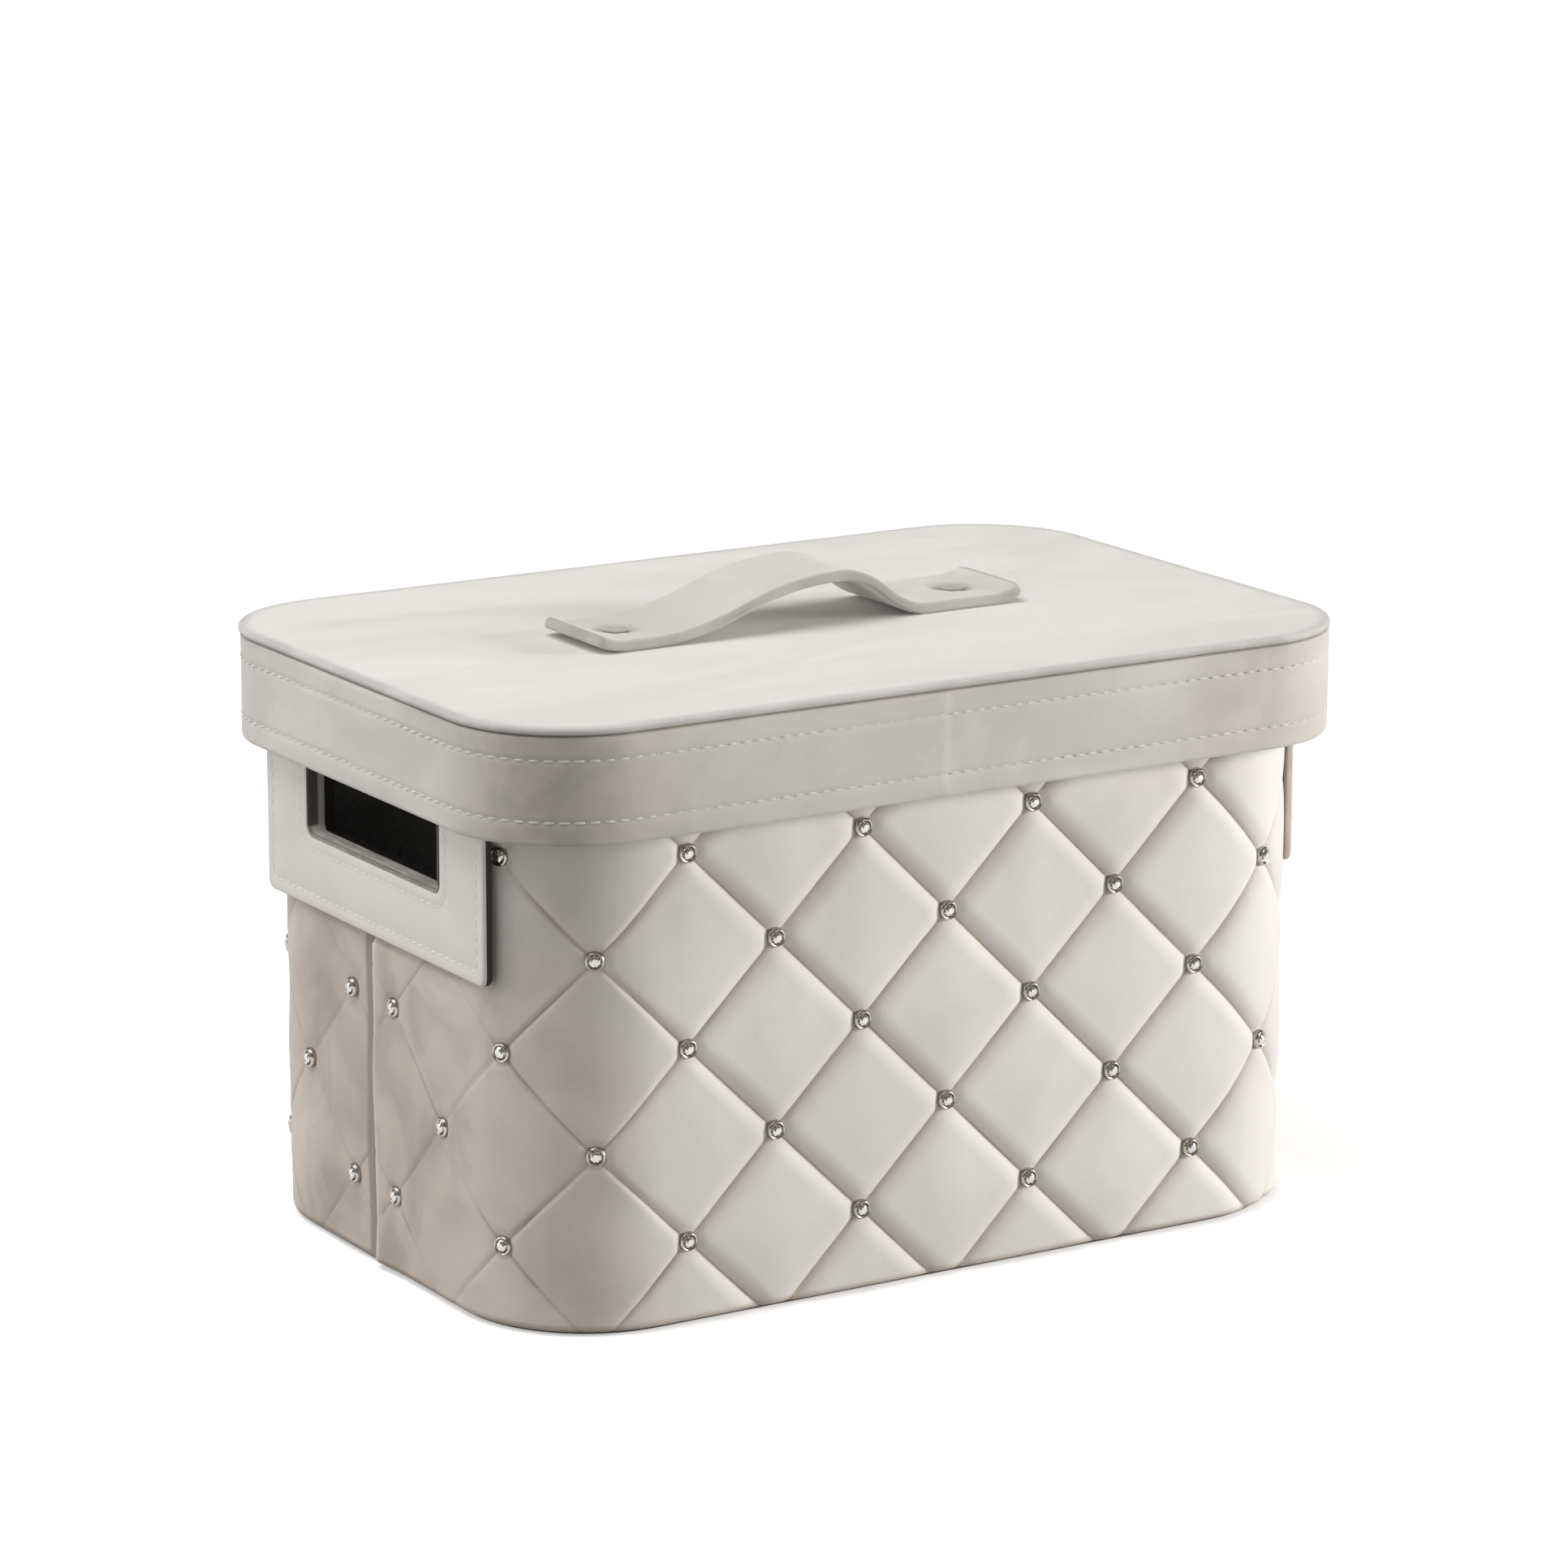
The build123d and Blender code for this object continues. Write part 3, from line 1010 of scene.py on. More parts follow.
FULL = Padding(3.0, 3.0, 7.2, 0.45, 0.11, 0.10)
PULLED_FLAT = Padding(2.0, 0.9, 2.0, 0.1125, 0.055, 0.32)
RIGHT_CORNER = Padding(2.8, 2.4, 7.2, 0.36, 0.11, 0.10)


@dataclass(frozen=True)
class ShadePaint:
    """How much shade is painted on a cover, as amounts, and where, as spans in millimetres.

    Spans of the corner, the side and the right are runs from the middle of the cover, those of the
    painted light under the lid and of the low part are heights, and those of the lip, the seam and the
    foot start at that edge. Pairs for the seam and the patches are left and right, and least and more.
    """

    corner: float = 0.5
    corner_span: Span = (92.0, 150.0)
    side: float = 0.5
    side_span: Span = (168.0, 212.0)
    under_lid_light: float = 0.6
    under_lid_span: Span = (105.0, 160.0)
    low: float = 0.22
    low_span: Span = (25.0, 115.0)
    right: float = 0.4
    right_span: Span = (160.0, 215.0)
    cloudy: float = 0.18
    clouds: Waves = Waves((52.0, 71.0, 98.0), 31)
    lip: float = 0.35
    lip_span: Span = (2.0, 5.0)
    seam: float = 1.2
    seam_start: Pair = (3.6, 1.5)
    seam_span: Span = (0.0, 2.4)
    foot: float = 1.1
    foot_span: Span = (0.6, 3.0)
    line: float = 0.8
    line_width: float = 0.7
    patchy: Pair = (0.25, 0.65)
    patches: Waves = Waves((38.0, 55.0, 80.0), 47)
    patch_span: Span = (-0.2, 0.5)
    side_line: float = 0.45


@dataclass(frozen=True)
class QuiltCover:
    """Half of the body's quilted cover: foam diamonds between sewn channels, from seam to seam.

    Runs are counted from the middle of the cover. The flat, side, back and right spans are runs
    towards the left and the right side of the box, the proud and sunk spans start at the seam, and
    the press is where a side panel holds the cover flat, from that panel's edges.
    """

    facing: Facing
    diamond: float
    outline: Outline = BODY_OUTLINE
    sheet: float = BODY_SHEET
    backing: float = 1.4
    bottom: float = 1.2
    top: float = COVER_TOP
    bottom_roll: float = 2.6
    top_roll: float = 5.0
    least_lift: float = 0.1
    lowest_row: float = 28.7
    diamond_height: float = 65.8
    rows: int = 6
    cells: int = 24
    edge_lines: tuple[float, ...] = (0.0, 0.12, 0.45, 1.0, 1.8, 2.8)
    seam_shift: float = 5.0
    seam_gap: float = 1.6
    proud: float = 1.1
    proud_span: Span = (3.0, 18.0)
    proud_roll: float = 3.0
    sunk: Pair = (0.5, 0.25)
    sunk_span: Span = (2.0, 16.0)
    sunk_roll: float = 1.8
    press_start: float = 2.0
    press_half: float = 60.0
    press_low: Span = (-3.5, 0.5)
    press_high: Span = (-2.0, 1.0)
    hole_half: float = 47.6
    hole_bottom: float = 141.4
    hole_top: float = 173.6
    flat_span: Span = (84.0, 132.0)
    right_span: Span = (112.0, 190.0)
    side_depth: float = 0.6
    side_span: Span = (150.0, 190.0)
    back_drop: float = 0.8
    back_span: Span = (150.0, 200.0)
    fold_reach: float = 3.0
    folds: Waves = Waves((5.5, 6.5, 7.5, 9.0), 11)
    slack: Waves = Waves((34.0, 47.0, 61.0, 83.0), 23)
    dip: float = 0.55
    dip_span: Span = (2.5, 5.5)
    dip_floor: float = 0.2
    stud_room: float = 3.4
    stud_seam_room: float = 4.1
    stud_reach: float = 2.9
    stud_seat: float = 0.7
    panel_sink: float = 0.6
    stud_sink: float = 0.3
    stud: Stud = Stud()
    swell_cap: float = 1.1
    swell_percent: float = 99.0
    swell_evenings: int = 8
    line_play: float = 0.01
    held_share: float = 0.02
    held_lift: float = 0.6
    air: Air = Air()
    shade_paint: ShadePaint = ShadePaint()

    @property
    def way(self) -> int:
        """Sign that turns a run into one towards the left side: -1 for the front cover and 1 for the back."""
        return -1 if self.facing is Facing.FRONT else 1

    @property
    def middle(self) -> float:
        """Run of the outline at the middle of the cover."""
        return 0.0 if self.facing is Facing.FRONT else self.outline.round_trip / 2

    @property
    def seam_run(self) -> float:
        """Run from the middle of the cover to its seam on either side."""
        return self.outline.quarter - self.way * self.seam_shift - self.seam_gap / 2

    @property
    def steps(self) -> Pair:
        """Distance between grid lines along the cover and up it."""
        return self.diamond / 2 / self.cells, self.diamond_height / 2 / self.cells

    def lines(self, step: float, origin: float, low: float, high: float) -> Array:
        """Grid lines on the lattice's own step, with closer ones at both ends, where the cover rolls in.

        Args:
            step: Distance between the lines.
            origin: Where one of them lies.
            low: Lower end of the cover.
            high: Upper end of the cover.

        Returns:
            Places of the lines.
        """
        ends = np.array(self.edge_lines)
        first = math.ceil((low + ends[-1] + step / 2 - origin) / step)
        last = math.floor((high - ends[-1] - step / 2 - origin) / step)
        inner = origin + step * np.arange(first, last + 1)
        return np.concatenate([low + ends, inner, (high - ends)[::-1]])

    def lattice(self, run: Array, height: Array) -> tuple[Array, Array]:
        """Offsets from the nearest channel of each family, as shares of a diamond: 0 in it, 0.5 mid-way.

        Args:
            run: Run along the cover.
            height: Height over the floor.

        Returns:
            The offsets from the falling and from the rising family.
        """
        up = (height - self.lowest_row) / self.diamond_height
        across = run / self.diamond
        return np.mod(across + up, 1.0) - 0.5, np.mod(across - up, 1.0) - 0.5

    def channels(self, run: Array, height: Array) -> tuple[Array, Array]:
        """Distances from the nearest channel of each family.

        Args:
            run: Run along the cover.
            height: Height over the floor.

        Returns:
            The distances from the falling and from the rising family.
        """
        pitch = self.diamond * self.diamond_height / math.hypot(self.diamond, self.diamond_height)
        first, second = self.lattice(run, height)
        return pitch * np.abs(first), pitch * np.abs(second)

    def lift(self, run: Array, height: Array) -> Array:
        """How far the cover stands off its sheet.

        A pad is a plateau with a sloped shoulder along each channel and a slight dome.
        The cover is pulled flat round the left corner, where only thin sewn lines are left, and
        flatter round the right. It dips at each stud, rolls in at its edges, is proud at the front
        cover's seam, sunk at the back cover's, and lies flat under the side panels.

        Args:
            run: Run along the cover.
            height: Height over the floor.

        Returns:
            Millimetres off the sheet.
        """
        left = self.way * run
        flat, right = rise(left, self.flat_span), rise(-left, self.right_span)
        level, depth, shoulder, dome, fold, uneven = (
            full + flat * (pulled - full) + right * (corner - full)
            for full, pulled, corner in zip(FULL, PULLED_FLAT, RIGHT_CORNER)
        )
        depth -= self.side_depth * rise(left, self.side_span)
        if self.facing is Facing.BACK:
            level -= self.back_drop * rise(left, self.back_span)
        first, second = self.lattice(run, height)
        near, far = self.channels(run, height)
        plateau = pillow(near, shoulder) * pillow(far, shoulder)
        crown = np.sin(math.pi * np.abs(first)) * np.sin(math.pi * np.abs(second))
        lift = level - depth * (1.0 - plateau) + dome * crown
        near_channel = np.exp(-np.minimum(near, far) / self.fold_reach)
        lift += fold * self.folds.at(run, height) * near_channel * plateau
        lift += uneven * self.slack.at(run, height)
        stud = np.hypot(self.diamond * (first + second) / 2, self.diamond_height * (first - second) / 2)
        lift -= self.dip * fall(stud, self.dip_span) * np.clip(lift - self.dip_floor, 0.0, None)
        return np.clip(self.at_edges(lift, run, height), self.least_lift, None) * self.rolled(height)

    def at_edges(self, lift: Array, run: Array, height: Array) -> Array:
        """Bend the cover at its seams, and press it flat under the side panels.

        Args:
            lift: Millimetres off the sheet.
            run: Run along the cover.
            height: Height over the floor.

        Returns:
            The lift with its edges.
        """
        away = self.seam_run - np.abs(run)
        if self.facing is Facing.FRONT:
            lift = (lift + self.proud * fall(away, self.proud_span)) * quarter_round(away, self.proud_roll)
        else:
            sunk = np.where(self.way * run > 0.0, *self.sunk)
            lift = lift * (1.0 - sunk * fall(away, self.sunk_span)) * quarter_round(away, self.sunk_roll)
        panel_edge = self.outline.side_run(PANEL_LENGTH / 2)
        behind = rise(np.abs(run), (panel_edge - self.press_start, self.outline.quarter - self.press_half))
        hidden = rise(height - PANEL_BOTTOM, self.press_low) * fall(height - PANEL_TOP, self.press_high)
        return lift * (1.0 - behind * hidden)

    def rolled(self, height: Array) -> Array:
        """Share of the lift that is left where the cover rolls in at its foot and at its top."""
        foot = quarter_round(height - self.bottom, self.bottom_roll)
        return foot * quarter_round(self.top - height, self.top_roll)

    def skin(self, run: Array, height: Array, lift: Array) -> Array:
        """Points over the cover's sheet, along the outline's normals.

        Args:
            run: Grid lines along the cover.
            height: Grid lines up the cover.
            lift: How far the points stand off the sheet, where the lines cross.

        Returns:
            The points, shaped as lift, with a last axis of x, y, z.
        """
        points, normals = self.outline.at(run + self.middle)
        flat = points[:, None] + normals[:, None] * (lift - self.sheet)[..., None]
        return np.concatenate([flat, np.broadcast_to(height[:, None], (*lift.shape, 1))], axis=-1)

    def shell(self) -> Shell:
        """The padded cover as a closed solid.

        Grid lines fall on the lattice, so that each channel runs along cell diagonals, and every cell is
        split along the channel nearest to it. The inner face lies on the wall's board, and a wall closes
        the edges and the notch that the hand-hole makes.

        Returns:
            The closed shell.
        """
        run = self.lines(self.steps[0], 0.0, -self.seam_run, self.seam_run)
        height = self.lines(self.steps[1], self.lowest_row, self.bottom, self.top)
        runs, heights = np.meshgrid(run, height, indexing="ij")
        lift = self.lift(runs, heights)
        lift += self.swell(run, height, lift)
        outer = self.skin(run, height, lift)
        inner = self.skin(run, height, np.full(lift.shape, -self.backing))
        mid_run = (run[1:] + run[:-1])[:, None] / 2
        mid_height = (height[1:] + height[:-1])[None] / 2
        first, second = self.lattice(mid_run, mid_height)
        falling = (np.abs(first) < np.abs(second))[..., None]
        a, b, c, d = cells(np.arange(lift.size).reshape(lift.shape))
        one = np.where(falling, np.stack([a, b, d], axis=-1), np.stack([a, b, c], axis=-1))
        two = np.where(falling, np.stack([b, c, d], axis=-1), np.stack([a, c, d], axis=-1))
        notch = np.abs(mid_run) > self.outline.quarter - self.hole_half
        notch = notch & (mid_height > self.hole_bottom) & (mid_height < self.hole_top)
        faces = np.concatenate([one[~notch], two[~notch]])
        return closed(outer.reshape(-1, 3), inner.reshape(-1, 3), faces, self.nap(runs, heights).ravel())

    def swell(self, run: Array, height: Array, lift: Array) -> Array:
        """Let the pads swell under a little air with Blender's cloth, held along the channels and edges.

        The cloth is every second line of the grid. Its outward movement is evened out between the held
        points, capped by scaling it to the fullest pad, and spread back over the whole grid.

        Args:
            run: Grid lines along the cover.
            height: Grid lines up the cover.
            lift: Height of the skin over its sheet at each grid point.

        Returns:
            Millimetres to add to the lift.
        """
        picks = []
        for lines, step, origin in zip((run, height), self.steps, (0.0, self.lowest_row)):
            even = np.abs(np.mod((lines - origin) / step + 1.0, 2.0) - 1.0) < self.line_play
            even[[0, -1]] = True
            picks.append(np.flatnonzero(even))
        few_runs, few_heights = run[picks[0]], height[picks[1]]
        start = lift[np.ix_(*picks)]
        skin = self.skin(few_runs, few_heights, start)
        first, second = self.lattice(few_runs[:, None], few_heights[None])
        held = np.minimum(np.abs(first), np.abs(second)) < self.held_share
        held[[0, -1]] = True
        held[:, [0, -1]] = True
        held |= start < self.held_lift
        moved = self.air.inflate(Shell.grid(skin), held.ravel()).reshape(skin.shape) - skin
        _, normals = self.outline.at(few_runs + self.middle)
        outward = np.clip((moved[..., :2] * normals[:, None]).sum(-1), 0.0, None)
        log.info("%s cover swells by up to %.2f mm before its cap", self.facing.value, outward.max())
        for _ in range(self.swell_evenings):
            padded = np.pad(outward, 1, mode="edge")
            near = padded[:-2, 1:-1] + padded[2:, 1:-1] + padded[1:-1, :-2] + padded[1:-1, 2:]
            outward = np.where(held, 0.0, (outward + near / 4) / 2)
        outward *= self.swell_cap / np.percentile(outward, self.swell_percent)
        along, up = (
            np.stack([np.interp(lines, lines[pick], unit) for unit in np.eye(len(pick))])
            for lines, pick in zip((run, height), picks)
        )
        return along.T @ outward @ up

    def nap(self, run: Array, height: Array) -> Array:
        """How much shade is painted, up to 1, and past that how much darker painted shadow, up to 2.

        Painted shade lies round the left corner and side, which face away from the lights, most low on the
        left side and unevenly, eased by painted light high on the corner under the lid, and some round the
        right corner. Painted shadow lies in the sewn channels, along the lower edge and along the back
        cover's edge at the seam, in the channels on the left side only in places. The front cover's lip at
        the seam is left paler, as a painted highlight.

        Args:
            run: Run along the cover.
            height: Height over the floor.

        Returns:
            Values from 0 to 2.
        """
        shade_paint, left = self.shade_paint, self.way * run
        flat, side = rise(left, self.flat_span), rise(left, shade_paint.side_span)
        # Painted shade round the left corner and side, which face away from the lights, deeper low on the
        # side and some round the right corner; painted light eases it high on the corner, in the lid's shadow
        painted_light_under_lid = shade_paint.under_lid_light * rise(height, shade_paint.under_lid_span) * (1.0 - side)
        wear_and_shade = shade_paint.corner * rise(left, shade_paint.corner_span) * (1.0 - painted_light_under_lid) + shade_paint.side * side
        wear_and_shade += shade_paint.low * side * fall(height, shade_paint.low_span)
        wear_and_shade += shade_paint.right * rise(-left, shade_paint.right_span)
        wear_and_shade += shade_paint.cloudy * shade_paint.clouds.at(run, height) * wear_and_shade
        away = self.seam_run - np.abs(run)
        # Painted highlight on the front cover's proud lip at the seam, and painted shadow along the back
        # cover's edge beside it
        if self.facing is Facing.FRONT:
            wear_and_shade *= shade_paint.lip + (1.0 - shade_paint.lip) * rise(away, shade_paint.lip_span)
        else:
            wear_and_shade += shade_paint.seam * fall(away - np.where(left > 0.0, *shade_paint.seam_start), shade_paint.seam_span)
        # Painted shade along the lower edge
        wear_and_shade += shade_paint.foot * fall(height - self.bottom, shade_paint.foot_span)
        # Painted shade in the sewn channels, patchy on the left side
        least, more = shade_paint.patchy
        patchy = least + more * rise(shade_paint.patches.at(run, height), shade_paint.patch_span)
        sewn = bell(np.minimum(*self.channels(run, height)), 0.0, shade_paint.line_width)
        sewn *= shade_paint.line * (1.0 - flat) + patchy * (1.0 - shade_paint.side_line * side) * flat
        return np.clip(wear_and_shade + sewn, 0.0, FULL_SHADOW)

    def stud_axes(self) -> tuple[Array, Array]:
        """Seats of the studs at the crossings that no side panel covers.

        Returns:
            Places on the seats, and for each its axes: along the cover, up, and outwards.
        """
        reach = int((self.seam_run - self.stud_seam_room) / (self.diamond / 2))
        column, row = np.meshgrid(np.arange(-reach, reach + 1), np.arange(self.rows))
        odd = (column + row) % 2 == 1
        column, row = column[odd], row[odd]
        points, normals = self.outline.at(column * self.diamond / 2 + self.middle)
        height = self.lowest_row + row * self.diamond_height / 2
        seat = np.abs(points[:, 0] - self.stud_seat * normals[:, 0])
        stands_out = seat + self.stud_reach * np.abs(normals[:, 1])
        covered = stands_out > self.outline.length / 2 - self.sheet - self.panel_sink
        covered &= np.abs(points[:, 1]) < PANEL_LENGTH / 2 + self.stud_room
        covered &= height > PANEL_BOTTOM - self.stud_room
        points, normals, height = points[~covered], normals[~covered], height[~covered]
        zeros, ones = np.zeros(len(height)), np.ones(len(height))
        outward = np.column_stack([normals, zeros])
        up = np.column_stack([zeros, zeros, ones])
        places = np.column_stack([points - normals * (self.sheet + self.stud_sink), height])
        return places, np.stack([np.cross(up, outward), up, outward], axis=1)

    def dress(self) -> None:
        """Make the cover, its studs' bezels and their stones."""
        name, body = self.facing.value, Body.BOX
        node = f"{name}_cover"
        cover = make_piece(f"{name}_quilting", self.shell(), body, QUILT_SUEDE, [node], 70.0)
        places, axes = self.stud_axes()
        bezels = self.stud.bezel().copies(places, axes)
        make_piece(f"{name}_bezels", bezels, body, SILVER, [f"{name}_stud_bezels"], 50.0)
        stones = self.stud.stone().copies(places, axes)
        make_piece(f"{name}_crystals", stones, body, STONE, [f"{name}_stud_crystals"], 0.0)


# Painted shade of a side panel on its face up to the outer seam, and painted shadow on its cut edge from the
# face to the back
PANEL_FACE_SHADE = {Hand.LEFT: 0.0, Hand.RIGHT: 0.35}
CUT_EDGE_SHADOW = {Hand.LEFT: (2.0, 2.0, 2.0, 2.0, 2.0), Hand.RIGHT: (1.1, 1.2, 1.5, 1.5, 1.5)}


@dataclass(frozen=True)
class SidePanel:
    """Flat leather panel on a short side, with the hand-hole through it and a stitch line along each edge."""

    hand: Hand
    length: float = PANEL_LENGTH
    bottom: float = PANEL_BOTTOM
    top: float = PANEL_TOP
    corner: float = 3.6
    least_corner: float = 0.4
    hole_length: float = 94.2
    hole_bottom: float = 141.9
    hole_top: float = 173.1
    hole_corner: float = 3.6
    face: float = 162.0
    back: float = 160.4
    foot: float = 158.4
    inset: float = 4.6
    groove: float = 0.22
    seam_rows: int = 3
    pitch: float = 4.6
    ahead: float = 0.8
    thread_sink: float = 0.28
    segments: int = 14
    stitch: Stitch = Stitch()

    def outer(self, inset: float) -> Array:
        """Loop inside the panel's edge.

        Args:
            inset: Distance from the edge.

        Returns:
            Points as y and height.
        """
        size = self.top - self.bottom - 2 * inset
        corner = max(self.corner - inset, self.least_corner)
        points = loop(self.length - 2 * inset, size, corner, self.segments)
        return points + [0.0, (self.top + self.bottom) / 2]

    def hole(self, grow: float) -> Array:
        """Loop round the hand-hole.

        Args:
            grow: Distance from its edge.

        Returns:
            Points as y and height.
        """
        size = self.hole_top - self.hole_bottom + 2 * grow
        points = loop(self.hole_length + 2 * grow, size, self.hole_corner + grow, self.segments)
        return points + [0.0, (self.hole_top + self.hole_bottom) / 2]

    def shell(self) -> Shell:
        """A closed profile from the hole's edge across the face, round the outer edge and back behind.

        Below the leather, the cut edge carries painted shadow, dark on the left panel and lighter on the
        right, and the right panel's face a little painted shade.

        Returns:
            The panel, closed like a ring.
        """
        face, foot, seam = self.face, self.foot, self.inset
        dent = face - self.groove
        near = [
            (0.0, self.back), (0.0, face - 0.7), (0.2, face - 0.25), (0.7, face),
            (seam - 1.0, face), (seam, dent), (seam + 1.0, face),
        ]
        far = [
            (seam + 1.0, face), (seam, dent), (seam - 1.0, face),
            (1.1, face), (0.5, face - 0.15), (0.12, face - 0.55), (0.0, face - 1.2),
            (0.0, face - 1.35), (0.0, foot + 0.6), (0.35, foot), (1.6, foot), (1.8, self.back),
        ]
        rows = [(self.hole(grow), out) for grow, out in near]
        rows += [(self.outer(inset), out) for inset, out in far]
        grid = np.stack([np.insert(points, 0, self.hand.value * out, axis=1) for points, out in rows])
        shell = Shell.grid(grid, wrap_rows=True, wrap_columns=True)
        # Painted shade on the right panel's face, and painted shadow on both cut edges, darkest on the left
        nap, cut_edge = np.zeros(len(rows)), CUT_EDGE_SHADOW[self.hand]
        nap[:len(near) + self.seam_rows] = PANEL_FACE_SHADE[self.hand]
        nap[-len(cut_edge):] = cut_edge
        shell.nap = np.repeat(nap, grid.shape[1])
        return shell

    def stitches(self) -> Shell:
        """Stitches along the outer edge and round the hole, on the face, each laid along its loop.

        Returns:
            Both rows as one shell.
        """
        rows = []
        for points in (self.outer(self.inset), self.hole(self.inset)):
            ring = np.vstack([points, points[:1]])
            run = np.concatenate([[0.0], np.cumsum(np.linalg.norm(np.diff(ring, axis=0), axis=1))])
            count = round(run[-1] / self.pitch)
            where = run[-1] * np.arange(count) / count
            at, ahead = (
                np.column_stack([np.interp(np.mod(where + step, run[-1]), run, part) for part in ring.T])
                for step in (0.0, self.ahead)
            )
            along = (ahead - at) / np.linalg.norm(ahead - at, axis=1, keepdims=True)
            places = np.insert(at, 0, self.hand.value * (self.face - self.thread_sink), axis=1)
            outward = np.broadcast_to([float(self.hand.value), 0.0, 0.0], places.shape)
            rows.append(self.stitch.row(places, np.insert(along, 0, 0.0, axis=1), outward))
        return Shell.merged(rows)

    def dress(self) -> None:
        """Make the panel and its stitches."""
        name = self.hand.name.lower()
        node = f"{name}_patch"
        make_piece(f"{name}_panel", self.shell(), Body.BOX, PATCH_SUEDE, [node], 50.0)
        make_piece(f"{name}_panel_stitches", self.stitches(), Body.BOX, PANEL_THREAD)


@dataclass(frozen=True)
class Rim:
    """Binding that closes the top edge of the wall, its rolled edges given as steps in and down."""

    outline: Outline = BODY_OUTLINE
    outer: float = BODY_SHEET
    inner: float = 9.8
    bottom: float = COVER_TOP
    top: float = 200.6
    edge: tuple[Pair, ...] = ((0.0, 0.8), (0.25, 0.25), (0.8, 0.0))
    stations: int = 360

    def dress(self) -> None:
        """Make the binding, its upper edges rolled over."""
        profile = [(self.outer, self.bottom)]
        profile += [(self.outer + inward, self.top - down) for inward, down in self.edge]
        profile += [(self.inner - inward, self.top - down) for inward, down in self.edge[::-1]]
        profile += [(self.inner, self.bottom)]
        shell = band(self.outline, np.array(profile), self.stations)
        make_piece("rim_roll", shell, Body.BOX, SKIRT_SUEDE, ["rim_binding"])


@dataclass(frozen=True)
class Lid:
    """Lift-off lid: a thin top panel over a deep skirt with two rows of stitches.

    The steps near and below a row are heights of grid lines about a stitch row, and the panel's rim
    is given as steps in from its edge and up from its underside. The skirt's darkening along the front
    starts at the left front corner, its back span at the middle of the back, and each spot is an amount,
    a run and a width.
    """

    outline: Outline = Outline(340.0, 228.0, 44.0)
    skirt_bottom: float = 169.0
    skirt_top: float = 205.0
    hem_top: float = 170.0
    leather: float = 0.5
    board: float = 2.0
    hem: float = 6.5
    panel_bottom: float = 205.8
    panel_top: float = 208.0
    panel_inset: float = 5.0
    panel_rays: int = 25
    panel_rim: tuple[Pair, ...] = (
        (2.2, 0.0), (0.4, 0.0), (0.08, 0.35), (0.0, 0.8), (0.04, 1.25), (0.25, 1.75), (0.65, 2.1),
    )
    panel_edge: float = 1.25
    panel_edge_shade: float = 0.8
    upper_row: float = 197.2
    lower_row: float = 177.0
    near_row: tuple[float, ...] = (2.2, 1.0, 0.5, 0.0, -0.5, -1.0, -2.2)
    below_row: tuple[float, ...] = (-6.0, -11.0, -15.0)
    dent: float = 0.3
    dent_width: float = 0.7
    front_darkening: float = 0.3
    front_span: Span = (-30.0, 30.0)
    back_span: Span = (-180.0, -10.0)
    corner_shade: float = 0.75
    corner_width: float = 38.0
    tone_spots: tuple[Triple, ...] = ((0.2, 112.0, 22.0), (-0.17, 59.0, 28.0))
    pitch: float = 5.0
    thread_sink: float = 0.22
    stitch: Stitch = Stitch()
    join: float = -8.0
    join_lap: float = 0.4
    join_span: Span = (5.0, 60.0)
    uneven: float = 0.16
    skirt_waves: Waves = Waves((41.0, 66.0, 95.0, 130.0), 5)
    panel_waves: Waves = Waves((58.0, 77.0, 104.0, 150.0), 8)
    stations: int = 640

    def skirt(self) -> Shell:
        """The skirt's leather: rolled at both edges, dented along its stitch rows, a little uneven.

        It laps over itself at a join in the front, and thins out to the left of that.

        Returns:
            The closed ring.
        """
        low, high, face = self.skirt_bottom, self.skirt_top, self.leather
        near = np.array(self.near_row)
        heights = np.concatenate([
            [high - 0.6, high - 2.0], self.upper_row + near, self.upper_row + np.array(self.below_row),
            self.lower_row + near, [low + 1.6],
        ])
        dents = sum(bell(heights, row, self.dent_width) for row in (self.upper_row, self.lower_row))
        outer = np.column_stack([face + self.dent * dents, heights])
        start = np.array([(self.board, high), (face + 0.6, high), (face + 0.15, high - 0.2)])
        end = np.array([
            (face + 0.1, low + 0.8), (face + 0.5, low + 0.2), (face + 1.2, low), (self.hem, low),
            (self.hem, self.hem_top), (self.board, self.hem_top),
        ])
        profile = np.concatenate([start, outer, end])
        run = self.outline.even(self.stations)
        rings = np.broadcast_to(profile, (self.stations, *profile.shape)).copy()
        soft = slice(len(start), len(start) + len(outer))
        rings[:, soft, 0] += self.uneven * self.skirt_waves.at(run[:, None], heights[None])
        past = self.join - self.outline.from_front(run)
        rings[:, soft, 0] -= (self.join_lap * (past > 0) * fall(past, self.join_span))[:, None]
        shell = band(self.outline, rings, self.stations)
        shell.nap = np.repeat(self.nap(run), len(profile))
        return shell

    def nap(self, run: Array) -> Array:
        """Painted shade on the skirt, most at the left front corner, which faces away from the lights, and
        some darkening along the front and right, with lighter and darker spots.

        Args:
            run: Run along the outline.

        Returns:
            Values from 0 to 1.
        """
        run = self.outline.from_front(run)
        far = self.outline.round_trip / 2
        corner = -self.outline.long_flat - self.outline.corner * math.pi / 4
        rest = rise(run - corner, self.front_span) * fall(run - far, self.back_span)
        # Painted shade at the left front corner, where the lights don't reach; elsewhere a little darkening
        # along the front and right, and spots
        nap = self.front_darkening * rest + self.corner_shade * bell(run, corner, self.corner_width)
        nap += sum(amount * bell(run, place, width) for amount, place, width in self.tone_spots)
        return np.clip(nap, 0.0, FULL_SHADE)

